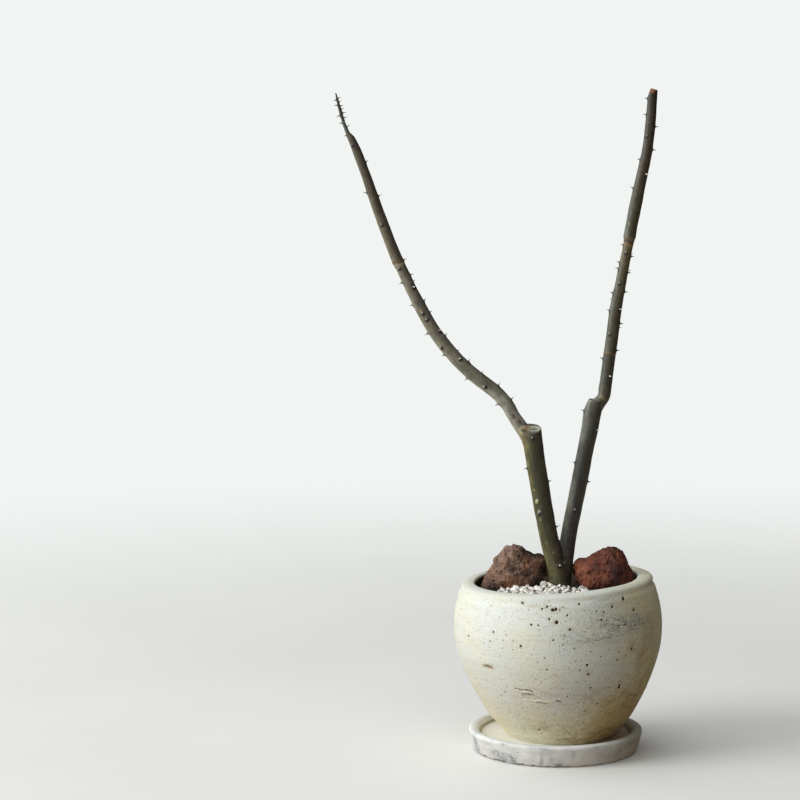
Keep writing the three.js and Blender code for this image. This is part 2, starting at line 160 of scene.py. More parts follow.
LEFT_ROCK = {
    "centre": (-27.5, 2, 113),
    "depth": 15.5,
    "seed": 1.7,
    "outline": [
        (20.4, -9), (20.6, -0.9), (20.2, 4.8), (18.8, 9.5), (14.2, 11.3), (8.6, 13.3), (3.2, 16.1),
        (0.1, 17), (-1.5, 16), (-6.3, 14.8), (-9.9, 9.8), (-12.7, 6.1), (-14.1, 1.2), (-16, -1.2),
        (-18.7, -6.6), (-19.8, -12), (-8, -16.5), (8, -16.5),
    ],
}
RIGHT_ROCK = {
    "centre": (31.3, 3, 113),
    "depth": 15.0,
    "seed": 4.1,
    "outline": [
        (18, -10), (17.6, -3), (16.3, 1.5), (13.4, 6.8), (11.4, 12), (7.3, 16), (3.7, 16.6), (-0.2, 16),
        (-6.6, 12.8), (-13.8, 8.6), (-17.6, 8.4), (-19.6, 6.8), (-20.4, 3.1), (-20.4, -1), (-19, -9),
        (-17, -12.5), (-6, -16.5), (9, -16.5),
    ],
}

# Camera: place in metres, pitch and yaw in radians, lens, film width in millimetres, and the
# nearest and farthest things that it shows, in metres
CAMERA_PLACE = (0.0, -1.7848, 0.4486)
CAMERA_PITCH = 0.1265
CAMERA_YAW = -0.0551
CAMERA_LENS = 129.535
CAMERA_WIDTH = 36.0
CAMERA_REACH = (0.05, 50.0)


# Helpers
def smooth(low, high, value):
    """0 below low, 1 above high, eased between; works on arrays."""
    t = np.clip((value - low) / (high - low), 0.0, 1.0)
    return t * t * (3.0 - 2.0 * t)


def bell(distance, width):
    """1 at distance 0, falling off softly over the width."""
    return np.exp(-(distance / width) ** 2)


def fractal(points, scale, octaves, offset):
    """Smooth noise of about -1 to 1 at points in mm, where scale is the size of its features."""
    shift = Vector((offset, -0.7 * offset, 1.3 * offset))
    values = [noise.fractal(Vector(p) / scale + shift, 0.6, 2.0, octaves) for p in points]
    return np.array(values)


def cells(points, size, offset):
    """Distance to the nearest cell point, in cells."""
    shift = Vector((offset, 0.3 * offset, -offset))
    near = [noise.voronoi(Vector(p) / size + shift, distance_metric="DISTANCE")[0] for p in points]
    return np.array([distances[0] for distances in near])


def between(value, steps, colours):
    """Colours in thousandths read off between steps, as shares."""
    channels = [np.interp(value, steps, channel) for channel in zip(*colours)]
    return np.stack(channels, axis=1) / 1000


def blend_in(colours, share, colour):
    """Colours with one in thousandths laid over them, as strong as the share at each point."""
    return colours * (1 - share[:, None]) + np.array(colour) / 1000 * share[:, None]


def placed(name, data):
    """A new object of the scene."""
    obj = bpy.data.objects.new(name, data)
    bpy.context.scene.collection.objects.link(obj)
    return obj


def mesh_of(name, shape):
    mesh = bpy.data.meshes.new(name)
    shape.to_mesh(mesh)
    shape.free()
    return mesh


def ball(name, fineness):
    shape = bmesh.new()
    bmesh.ops.create_icosphere(shape, subdivisions=fineness, radius=1.0)
    return mesh_of(name, shape)


def band(low, high, sides):
    """Four-sided faces between two rings of points, given by the number of their first point."""
    following = [(k, (k + 1) % sides) for k in range(sides)]
    return [(low + k, low + m, high + m, high + k) for k, m in following]


def mesh_from(name, points_mm, faces):
    mesh = bpy.data.meshes.new(name)
    mesh.from_pydata([tuple(p) for p in np.asarray(points_mm) * MM], [], faces)
    mesh.validate()
    mesh.update()
    return mesh


def piece_from(name, mesh, material, nodes, flat=False):
    obj = placed(name, mesh)
    mesh.materials.clear()
    mesh.materials.append(material)
    mesh.polygons.foreach_set("use_smooth", [not flat] * len(mesh.polygons))
    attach(obj, "root")
    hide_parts(*nodes)


def read(mesh, key):
    """The places ("co") or the ways out ("normal") of a mesh's points."""
    found = np.empty(len(mesh.vertices) * 3)
    mesh.vertices.foreach_get(key, found)
    return found.reshape(-1, 3)


def set_points(mesh, points_mm):
    mesh.vertices.foreach_set("co", (np.asarray(points_mm) * MM).ravel())
    mesh.update()


# Kinds of what is kept for each point
LAYERS = {"value": "FLOAT", "vector": "FLOAT_VECTOR", "color": "FLOAT_COLOR"}


def store(mesh, name, values, kind="value"):
    """Keep a number, vector or colour for each point, under a name that the material reads."""
    layer = mesh.attributes.new(name, LAYERS[kind], "POINT")
    if kind == "color":
        values = np.concatenate([values, np.ones((len(values), 1))], axis=1)
    layer.data.foreach_set(kind, np.asarray(values, dtype=float).ravel())


# Materials
class Nodes:
    """Short names for the nodes of a material or of the world."""

    def __init__(self, owner):
        owner.use_nodes = True
        self.tree = owner.node_tree
        self.tree.nodes.clear()

    def add(self, kind, **settings):
        node = self.tree.nodes.new("ShaderNode" + kind)
        for key, value in settings.items():
            setattr(node, key, value)
        return node

    def link(self, source, target):
        self.tree.links.new(source, target)

    def feed(self, socket, value):
        """Link a socket, or set a number, a vector or a colour in thousandths."""
        if isinstance(value, bpy.types.NodeSocket):
            self.link(value, socket)
        elif socket.type == "RGBA":
            socket.default_value = (*(c / 1000 for c in value), 1.0)
        else:
            socket.default_value = value

    def spread(self, value, low, high, bottom=0.0, top=1.0, kind="SMOOTHSTEP"):
        """Value from low to high made bottom to top, held at both ends."""
        node = self.add("MapRange", interpolation_type=kind)
        self.feed(node.inputs["Value"], self.part(value))
        for key, number in (("From Min", low), ("From Max", high), ("To Min", bottom), ("To Max", top)):
            node.inputs[key].default_value = number
        return node.outputs["Result"]

    def part(self, value):
        """A socket or number from itself, a stored value's name or the values of a spread."""
        if isinstance(value, str):
            return self.stored(value, "Fac")
        return self.spread(*value) if isinstance(value, tuple) else value

    def stored(self, name, output):
        return self.add("Attribute", attribute_name=name).outputs[output]

    def mix(self, share, first, second, blend="MIX"):
        node = self.add("Mix", data_type="RGBA", blend_type=blend)
        self.feed(node.inputs["Factor"], self.part(share))
        for socket, colour in zip([s for s in node.inputs if s.type == "RGBA"], (first, second)):
            self.feed(socket, colour)
        return [s for s in node.outputs if s.type == "RGBA"][0]


class Paint(Nodes):
    """A material whose colour is laid on in layers."""

    def __init__(self, name):
        self.material = bpy.data.materials.new(name)
        super().__init__(self.material)
        self.output = self.add("OutputMaterial")
        self.shader = self.add("BsdfPrincipled")
        self.link(self.shader.outputs["BSDF"], self.output.inputs["Surface"])
        self.place = self.scaled(self.add("TexCoord").outputs["Object"], 1 / MM)
        self.colour = None

    def scaled(self, vector, factor):
        node = self.add("VectorMath", operation="SCALE")
        self.link(vector, node.inputs[0])
        node.inputs["Scale"].default_value = factor
        return node.outputs[0]

    def math(self, operation, first, second, clamp=False):
        node = self.add("Math", operation=operation, use_clamp=clamp)
        self.feed(node.inputs[0], first)
        self.feed(node.inputs[1], second)
        return node.outputs[0]

    def sum(self, first, first_amount, second, second_amount):
        return self.math("ADD", self.product(first, first_amount), self.product(second, second_amount))

    def product(self, *parts):
        result = self.part(parts[0])
        for part in parts[1:]:
            result = self.math("MULTIPLY", result, self.part(part))
        return result

    def noise(self, size, detail, roughness, stretch=None, place=None):
        """Cloudy noise; stretch is how fast it changes across and along."""
        place = place or self.place
        if stretch:
            across, along = stretch
            wide = self.add("VectorMath", operation="MULTIPLY")
            self.link(place, wide.inputs[0])
            wide.inputs[1].default_value = (across, across, along)
            place = wide.outputs[0]
        node = self.add("TexNoise")
        self.link(place, node.inputs["Vector"])
        for key, number in (("Scale", 1 / size), ("Detail", detail), ("Roughness", roughness)):
            node.inputs[key].default_value = number
        return node.outputs["Fac"]

    def over(self, tone, *parts, blend="MIX"):
        """Lay a tone over the colour so far, as strong as the product of the parts."""
        self.colour = self.mix(self.product(*parts), self.colour, tone, blend)

    def specks(self, tone, size, edge, chance, more=None):
        """Lay round specks on: how far out they fade, and how rare and strong they are."""
        node = self.add("TexVoronoi")
        self.link(self.place, node.inputs["Vector"])
        node.inputs["Scale"].default_value = 1 / size
        luck = self.math("ADD", node.outputs["Color"], more) if more else node.outputs["Color"]
        self.over(tone, (node.outputs["Distance"], *edge), (luck, *chance))

    def finish(self, roughness, height, depth, specular):
        """Height runs from 0 to 1 and stands for depth, in mm."""
        self.feed(self.shader.inputs["Base Color"], self.colour)
        self.feed(self.shader.inputs["Roughness"], self.part(roughness))
        self.shader.inputs["Specular IOR Level"].default_value = specular
        bump = self.add("Bump")
        bump.inputs["Strength"].default_value = 1.0
        bump.inputs["Distance"].default_value = depth * MM
        self.feed(bump.inputs["Height"], height)
        self.link(bump.outputs["Normal"], self.shader.inputs["Normal"])
        return self.material


# Turned pieces
def smooth_path(points, step):
    """Points about a step apart on a smooth curve through the given [radius, height] points."""
    points = [np.array(p, dtype=float) for p in points]
    ends = [2 * points[0] - points[1], *points, 2 * points[-1] - points[-2]]
    path = []
    for i in range(len(points) - 1):
        a, b, c, d = ends[i:i + 4]
        count = max(1, round(np.linalg.norm(c - b) / step))
        path += [spline(a, b, c, d, k / count) for k in range(count)]
    path.append(points[-1])
    return path


def spline(a, b, c, d, share):
    """Centripetal Catmull-Rom curve from b to c."""
    k0 = 0.0
    k1 = k0 + max(1e-4, np.linalg.norm(b - a)) ** 0.5
    k2 = k1 + max(1e-4, np.linalg.norm(c - b)) ** 0.5
    k3 = k2 + max(1e-4, np.linalg.norm(d - c)) ** 0.5
    t = k1 + (k2 - k1) * share
    ab = ((k1 - t) * a + (t - k0) * b) / (k1 - k0)
    bc = ((k2 - t) * b + (t - k1) * c) / (k2 - k1)
    cd = ((k3 - t) * c + (t - k2) * d) / (k3 - k2)
    abc = ((k2 - t) * ab + (t - k0) * bc) / (k2 - k0)
    bcd = ((k3 - t) * bc + (t - k1) * cd) / (k3 - k1)
    return ((k2 - t) * abc + (t - k1) * bcd) / (k2 - k1)


def straight_path(points, step):
    path = []
    for a, b in zip(points, points[1:]):
        a, b = np.array(a, dtype=float), np.array(b, dtype=float)
        count = max(1, round(np.linalg.norm(b - a) / step))
        path += [a + (b - a) * k / count for k in range(count)]
    path.append(np.array(points[-1], dtype=float))
    return path


# Faces are made finer in two rounds, the first one wider
FINER_ROUNDS = (1.35, 1.0)


class Turned:
    """A profile turned about the vertical, laid out flat as columns and rows, so that it can be
    refined and pushed about before it is wrapped round."""

    def __init__(self, profile, columns, closed):
        self.ring = np.array([*profile, profile[0]] if closed else profile)
        self.columns = columns
        rows = len(self.ring)
        self.sheet = bmesh.new()
        grid = [[self.sheet.verts.new((i, j, 0)) for j in range(rows)] for i in range(columns + 1)]
        for i in range(columns):
            for j in range(rows - 1):
                self.sheet.faces.new((grid[i][j], grid[i][j + 1], grid[i + 1][j + 1], grid[i + 1][j]))

    def refine(self, spots):
        """Finer faces at spots of (column, row, half width in columns, half height in rows)."""
        for grow in FINER_ROUNDS:
            chosen = set()
            lookup = sorted(spots)
            firsts = [spot[0] for spot in lookup]
            widest = max(spot[2] for spot in lookup) * grow + 1
            for face in self.sheet.faces:
                centre = face.calc_center_median()
                low = bisect.bisect_left(firsts, centre.x - widest)
                high = bisect.bisect_right(firsts, centre.x + widest)
                for column, row, wide, tall in lookup[low:high]:
                    aside = (centre.x - column) / (wide * grow + 0.5)
                    above = (centre.y - row) / (tall * grow + 0.5)
                    if aside ** 2 + above ** 2 < 1:
                        chosen.update(face.edges)
                        break
            bmesh.ops.subdivide_edges(self.sheet, edges=list(chosen), cuts=1, use_grid_fill=True)

    def layout(self):
        """Turn in radians (0 faces the viewer, right is positive), row, radius, height, and the
        way out as shares along the radius and the height, for each point."""
        at = np.array([v.co[:2] for v in self.sheet.verts])
        turn = (at[:, 0] / self.columns * 2 - 1) * math.pi
        steps = np.arange(len(self.ring))
        rise = np.gradient(self.ring, axis=0)
        rise /= np.maximum(1e-9, np.linalg.norm(rise, axis=1, keepdims=True))
        found = [np.interp(at[:, 1], steps, values) for values in
                 (self.ring[:, 0], self.ring[:, 1], rise[:, 1], -rise[:, 0])]
        return (turn, at[:, 1], *found)

    def wrap(self, name, places_mm, values):
        """The mesh with its points at the given places, joined along its seam."""
        for key, numbers in values.items():
            layer = self.sheet.verts.layers.float.new(key)
            for vert, number in zip(self.sheet.verts, numbers):
                vert[layer] = float(number)
        for vert, place in zip(self.sheet.verts, places_mm):
            vert.co = Vector(place) * MM
        seam = [v for v in self.sheet.verts if v.is_boundary]
        bmesh.ops.remove_doubles(self.sheet, verts=seam, dist=1e-6)
        bmesh.ops.recalc_face_normals(self.sheet, faces=self.sheet.faces)
        return mesh_of(name, self.sheet)


def round_places(turn, radius, height):
    return np.stack([radius * np.sin(turn), -radius * np.cos(turn), height], axis=1)


def thrown(x, z):
    """The pot's own lean: its foot is off centre, and its mouth rises to the right."""
    rise = np.maximum(0.0, z - POT_FLOOR) / (POT_RIM_HEIGHT - POT_FLOOR)
    return x + POT_FOOT_SHIFT * (1 - rise), z + POT_RIM_SLANT * rise * x


def stains(blobs, degrees, height):
    """Soft spots of (azimuth, height, half width in degrees, half height, amount), added up."""
    total = np.zeros(len(degrees))
    for azimuth, level, wide, tall, amount in blobs:
        apart = (degrees - azimuth + 180) % 360 - 180
        total += amount * bell(apart, wide) * bell(height - level, tall)
    return np.clip(total, 0, 1)


def lines(strokes, degrees, height):
    """Thin marks of (azimuth, height) to (azimuth, height), width and depth: mask and depth."""
    mask = np.zeros(len(degrees))
    depth_sum = np.zeros(len(degrees))
    for (a0, z0), (a1, z1), width, depth in strokes:
        share = np.clip((degrees - a0) / (a1 - a0), 0, 1)
        level = z0 + (z1 - z0) * share + 0.22 * np.sin(degrees * 0.9)
        ends = smooth(a0 - 0.8, a0 + 0.8, degrees) * (1 - smooth(a1 - 0.8, a1 + 0.8, degrees))
        line = bell(height - level, width) * ends
        mask = np.maximum(mask, line)
        depth_sum += depth * line
    return mask, depth_sum


# Pot

# Pits of the pot's front: (azimuth in degrees, height, radius, height over width)
POT_PITS = [
    (-20, 105.3, 1.0, 0.7), (-8, 101.9, 0.7, 1), (-5, 103.3, 0.7, 1.6), (-2.1, 101.2, 1.15, 1.1),
    (-0.2, 101.5, 1.1, 1.1), (-4, 95.8, 0.8, 1), (0, 93.7, 1.25, 1), (-14, 92.4, 0.8, 1),
    (-10, 92.2, 0.6, 1), (-37, 86.5, 0.7, 1), (-20, 79.1, 0.85, 1.1), (-39, 80.4, 0.55, 1),
    (-57, 80.9, 0.75, 1), (-71, 95, 0.6, 1.3), (-7, 72, 0.5, 1), (-6, 64.4, 0.55, 1), (-2, 83.1, 0.6, 1),
    (-1.2, 101.0, 0.6, 1), (-5.9, 102.7, 0.45, 1), (1.9, 101.0, 0.5, 1), (3.8, 102.6, 0.4, 1.3),
    (-3.4, 103.6, 0.4, 1), (42, 103.4, 1.25, 1), (48, 95.6, 1.0, 1.1), (33, 99.9, 0.9, 1),
    (13, 103.7, 0.65, 1.2), (6, 97.7, 0.7, 1), (23, 98.7, 0.6, 1), (27, 97.6, 0.6, 1),
    (25, 93.4, 0.75, 1.1), (7, 89.1, 0.95, 0.8), (4, 85.6, 0.5, 1), (3, 79.9, 0.5, 1), (9, 77.6, 0.6, 1),
    (16, 66.6, 1.0, 0.9), (17, 60.5, 1.0, 0.7), (12, 63.2, 0.6, 1), (44, 72.8, 1.0, 1.1),
    (34, 67.7, 0.65, 1), (35, 72.9, 0.6, 1), (40, 69.5, 0.6, 1), (18, 74.8, 0.5, 1), (36, 91.7, 0.6, 1),
    (36, 88.4, 0.6, 1), (40, 88.6, 0.65, 1), (47, 86.8, 0.6, 1), (81, 82.9, 0.8, 1.2), (82, 94.5, 0.8, 1.3),
    (53, 98.3, 0.5, 1), (39, 49.6, 1.15, 1.6), (19, 51.5, 0.7, 1), (5, 46.2, 0.5, 1), (25, 40.3, 0.6, 1),
    (29, 33.9, 0.5, 1), (17, 35.4, 0.5, 1), (36, 21.5, 0.5, 1), (18, 27.1, 0.5, 1), (18, 21.8, 0.5, 1),
    (-17, 21.5, 0.65, 1), (-35, 47.1, 0.55, 1), (-39, 43.8, 0.5, 1),
]
# Stains of the pot: (azimuth, height, half width in degrees, half height, amount)
POT_STAINS = {
    "smudge": [
        (22, 93, 11, 4.5, 0.8), (36, 89, 12, 5.5, 1.0), (50, 88, 9, 6, 0.9), (24, 82, 14, 3.5, 0.7),
        (8, 84, 14, 5, 0.35), (-28, 78, 12, 9, 0.18), (30, 100, 16, 3, 0.35), (62, 78, 10, 9, 0.4),
        (135, 84, 16, 6, 0.7), (-120, 90, 14, 5, 0.6), (178, 74, 18, 6, 0.5), (-150, 60, 12, 5, 0.4),
    ],
    "ochre": [
        (52, 72, 16, 14, 0.7), (60, 88, 10, 9, 0.5), (42, 31, 20, 13, 1.0), (22, 42, 24, 10, 0.4),
        (-13, 103.7, 9, 1.1, 0.8), (1, 102.2, 8, 1.4, 0.65), (-1, 94, 3.5, 2.4, 0.6), (7, 89, 3, 2, 0.6),
        (16.5, 62, 3, 3, 0.6), (44, 72, 4, 5, 0.8), (62, 50, 20, 18, 0.7), (30, 18, 26, 6, 0.8),
        (-5, 22, 30, 8, 0.45), (-30, 34, 26, 12, 0.35), (110, 40, 26, 14, 0.5), (160, 52, 22, 14, 0.4),
        (-160, 34, 24, 10, 0.4), (-110, 66, 14, 8, 0.3),
    ],
    # Dirt stains; the bands round the foot on the right are painted shade as well as dirt
    "dirt_and_shade": [
        (55, 40, 10, 4.5, 0.9), (30, 46, 16, 3, 0.35), (48, 33, 9, 3, 0.5), (10, 48, 20, 5, 0.3),
        (-20, 46, 10, 4, 0.4), (46, 15, 20, 4, 1.0), (12, 13, 26, 2.6, 0.85), (-30, 13, 25, 1.5, 0.4),
        (34, 12, 28, 2.2, 1.0), (40, 19, 18, 5, 0.7), (6, 15, 20, 3.0, 0.4), (150, 30, 18, 5, 0.5),
        (-140, 44, 14, 4, 0.4),
    ],
    "rust": [
        (-44.5, 63.2, 2.6, 1.0, 1.0), (-40.5, 62.8, 2.4, 0.8, 0.8), (16, 13.2, 18, 2.0, 0.75),
        (42, 17, 15, 3.4, 0.7), (-9, 102.6, 1.4, 0.7, 0.3), (29, 104.4, 4, 0.8, 0.6),
    ],
    "crowded": [(-9, 41, 17, 8, 1.0), (12, 52, 16, 7, 0.6), (30, 42, 16, 8, 0.6), (-20, 28, 16, 8, 0.5)],
    "rain": [(6, 80, 15, 7, 1.0), (-3, 88, 8, 4, 0.5), (-2, 42, 7, 4, 0.8)],
    "green": [(53, 85, 7, 4, 0.9), (-20, 22, 26, 8, 0.5), (66, 92, 8, 5, 0.4), (0, 30, 40, 8, 0.3)],
}
# Scratches and raised ridges: from (azimuth, height) to (azimuth, height), width, and depth
# or rise. The ridges are also painted pale, as painted highlight
POT_SCRATCHES = [
    ((-27.0, 50.2), (-15.5, 49.4), 0.55, 0.35), ((-23, 47.2), (-15, 46.9), 0.45, 0.20),
    ((-1.8, 43.6), (1.6, 42.2), 0.65, 0.35), ((4, 22.7), (9, 17.9), 0.45, 0.25),
    ((-46.0, 63.1), (-42.6, 64.0), 0.75, 0.35), ((-43.4, 64.1), (-39.8, 63.0), 0.70, 0.30),
    ((-15, 41.6), (-8, 41.4), 0.35, 0.10),
]
POT_RIDGES = [
    ((-26.5, 49.1), (-16, 48.3), 0.45, 0.30), ((-22, 42.9), (-3, 42.6), 0.45, 0.22),
    ((-3, 44.6), (0.5, 44.2), 0.45, 0.20), ((13.5, 105.7), (20.5, 106.3), 0.50, 0.12),
]
# Columns round the pot, and the steps along its outside, lip, inside and foot
POT_COLUMNS = 340
POT_STEP = 1.25
LIP_STEP = 0.65
INSIDE_STEP = 4.5
FOOT_STEP = 5.0
# Rows at the lip's two ends that belong to the outer side and to the inner side, which is painted dark as
# painted shade
LIP_ROWS_OUTSIDE = 12
LIP_ROWS_INSIDE = 14
# The crease under the rolled lip
LIP_CREASE = 105.0
# The foot stands this far in from the wall, and this far over the saucer
FOOT_INSET = 0.9
FOOT_GAP = 0.05
BACK_PITS = 62
# Pits stay clear of the back's seam, where the columns begin and end, in degrees
SEAM_AT = 176
# Finer faces reach this far past a pit's radius, and a pit is this deep for its radius
PIT_ROOM = 1.6
PIT_DEPTH = 0.85
# The same along a scratch: in columns, and in its widths
SCRATCH_COLUMNS = 1.6
SCRATCH_ROOM = 2.4


def back_pits():
    """Pits of the sides and back, about as many and as large as those of the front."""
    random = np.random.default_rng(5)
    found = []
    for _ in range(BACK_PITS):
        azimuth = (92 + 176 * random.random() + 180) % 360 - 180
        height = 22 + 82 * random.random() ** 0.6
        radius = 0.45 + 0.8 * random.random() ** 2.2
        tall = 0.8 + 0.6 * random.random()
        if abs(azimuth) < SEAM_AT:
            found.append((azimuth, height, radius, tall))
    return found


def pot_profile():
    """The outline of the pot's section, and the rows at which its wall, outer side and lip end."""
    foot_edge = POT_OUTSIDE[0][0] - FOOT_INSET
    foot_level = SAUCER_FLOOR + FOOT_GAP
    recess = SAUCER_FLOOR + POT_FOOT_RECESS
    recess_edge = foot_edge - POT_FOOT_RING_WIDTH
    outside = smooth_path([(foot_edge, foot_level), *POT_OUTSIDE], POT_STEP)
    lip = smooth_path([POT_OUTSIDE[-1], *POT_RIM, *POT_INSIDE[:2]], LIP_STEP)
    inside = smooth_path(POT_INSIDE[1:], INSIDE_STEP)
    foot = straight_path([(DRAIN_RADIUS, POT_FLOOR), (DRAIN_RADIUS, recess),
                          (recess_edge - 1, recess), (recess_edge, foot_level)], FOOT_STEP)
    wall = len(outside)
    profile = outside[:-1] + lip[:-1] + inside + foot
    return profile, wall, wall + LIP_ROWS_OUTSIDE, wall + len(lip) - 2


def pot_pits(radii, heights, refined):
    """Each pit's turn, height, radius, height over width and the pot's radius there."""
    rows = np.arange(len(heights))
    found = []
    for azimuth, level, size, tall in POT_PITS + back_pits():
        row = float(np.interp(level, heights, rows))
        around = float(np.interp(row, rows, radii))
        column_width = 2 * math.pi / POT_COLUMNS * around
        refined.append(((azimuth / 180 + 1) / 2 * POT_COLUMNS, row,
                        PIT_ROOM * size / column_width, PIT_ROOM * size * tall / POT_STEP))
        found.append((math.radians(azimuth), level, size, tall, around))
    for (a0, z0), (a1, z1), width, _ in POT_SCRATCHES + POT_RIDGES:
        for share in np.linspace(0, 1, math.ceil(abs(a1 - a0)) + 1):
            column = ((a0 + (a1 - a0) * share) / 180 + 1) / 2 * POT_COLUMNS
            row = float(np.interp(z0 + (z1 - z0) * share, heights, rows))
            refined.append((column, row, SCRATCH_COLUMNS, SCRATCH_ROOM * width / POT_STEP))
    return found


def build_pot():
    profile, wall_rows, outer_rows, lip_rows = pot_profile()
    pot = Turned(profile, POT_COLUMNS, True)
    radii, heights = np.array(profile[:wall_rows]).T
    refined = []
    pits = pot_pits(radii, heights, refined)
    pot.refine(refined)
    turn, row, radius, height, out_radius, out_height = pot.layout()
    at = round_places(turn, radius, height)
    degrees = np.degrees(turn)
    outer = (row < outer_rows).astype(float)

    # Soft unevenness, throwing rings, and the crease under the rolled lip
    push = 0.22 * fractal(at, 42.0, 2, 3.0) * smooth(12, 24, height)
    rings = fractal(at * (0.06, 0.06, 1.0), 3.4, 2, 8.0)
    push += (0.07 * rings + 0.035 * fractal(at, 2.2, 3, 5.0)) * outer
    crease = LIP_CREASE + 0.5 * np.sin(2 * turn + 0.4)
    corner = bell(degrees - 86, 16)
    crease_depth = 0.26 + 0.14 * smooth(10, 50, np.abs(degrees - 40)) + 0.45 * corner
    push += 0.55 * corner * bell(height - LIP_CREASE - 2.4, 1.8)
    push += (0.15 * bell(height - crease + 2.8, 1.8) - crease_depth * bell(height - crease, 1.3)) * outer

    pit = np.zeros(len(at))
    halo = np.zeros(len(at))
    ragged = fractal(at, 1.1, 2, 1.0)
    for centre, level, size, tall, around in pits:
        reach = np.hypot((turn - centre) * around, (height - level) / tall) / size
        near = (reach < 4) & (outer > 0)
        edge = reach[near] * (1 + 0.22 * ragged[near])
        pit[near] = np.maximum(pit[near], 1 - smooth(0.55, 1.12, edge))
        halo[near] = np.maximum(halo[near], bell(edge - 1.0, 0.9))
        push[near] -= size * PIT_DEPTH * (1 - smooth(0.35, 1.15, edge))

    scratch, cut = lines(POT_SCRATCHES, degrees, height)
    ridge_highlight, raised = lines(POT_RIDGES, degrees, height)
    push += (raised - cut) * outer
    values = {"pit": pit, "halo": halo, "scratch": scratch * outer, "ridge_highlight": ridge_highlight * outer}
    for name, blobs in POT_STAINS.items():
        values[name] = stains(blobs, degrees, height) * outer
    # Painted shade: the inside of the lip and wall is painted dark brown
    values["inner"] = (row > lip_rows - LIP_ROWS_INSIDE) * smooth(109.0, 107.7, height)
    values["lip"] = smooth(105.5, 108.5, height) * (row < lip_rows)
    # The clay shows more of its earth colour low down; on the right, away from the window, the same warm
    # darkening is painted shade
    earth_and_shade = 0.90 * smooth(10, 62, degrees) * (1 - 0.75 * smooth(110, 150, degrees))
    earth_and_shade = np.maximum(earth_and_shade, 0.42 * smooth(20, -140, degrees))
    foot_part = 0.58 + 0.42 * smooth(-30, 40, degrees)
    values["earth_and_shade"] = np.clip(earth_and_shade + foot_part * smooth(62, 14, height), 0, 1.25) * outer
    # Painted shade: the lower right side, away from the window, is made darker and browner
    low_right_shade = smooth(15, 50, degrees) * (1 - smooth(95, 140, degrees)) * smooth(55, 22, height)
    values["low_right_shade"] = low_right_shade * outer
    values["low"] = smooth(70, 30, height) * 0.6 + 0.4 * smooth(-10, 50, degrees)

    places = round_places(turn, radius + out_radius * push, height + out_height * push)
    places[:, 0], places[:, 2] = thrown(places[:, 0], places[:, 2])
    mesh = pot.wrap("pot_body", places, values)
    piece_from("pot_body", mesh, material_pot(), ["pot"])


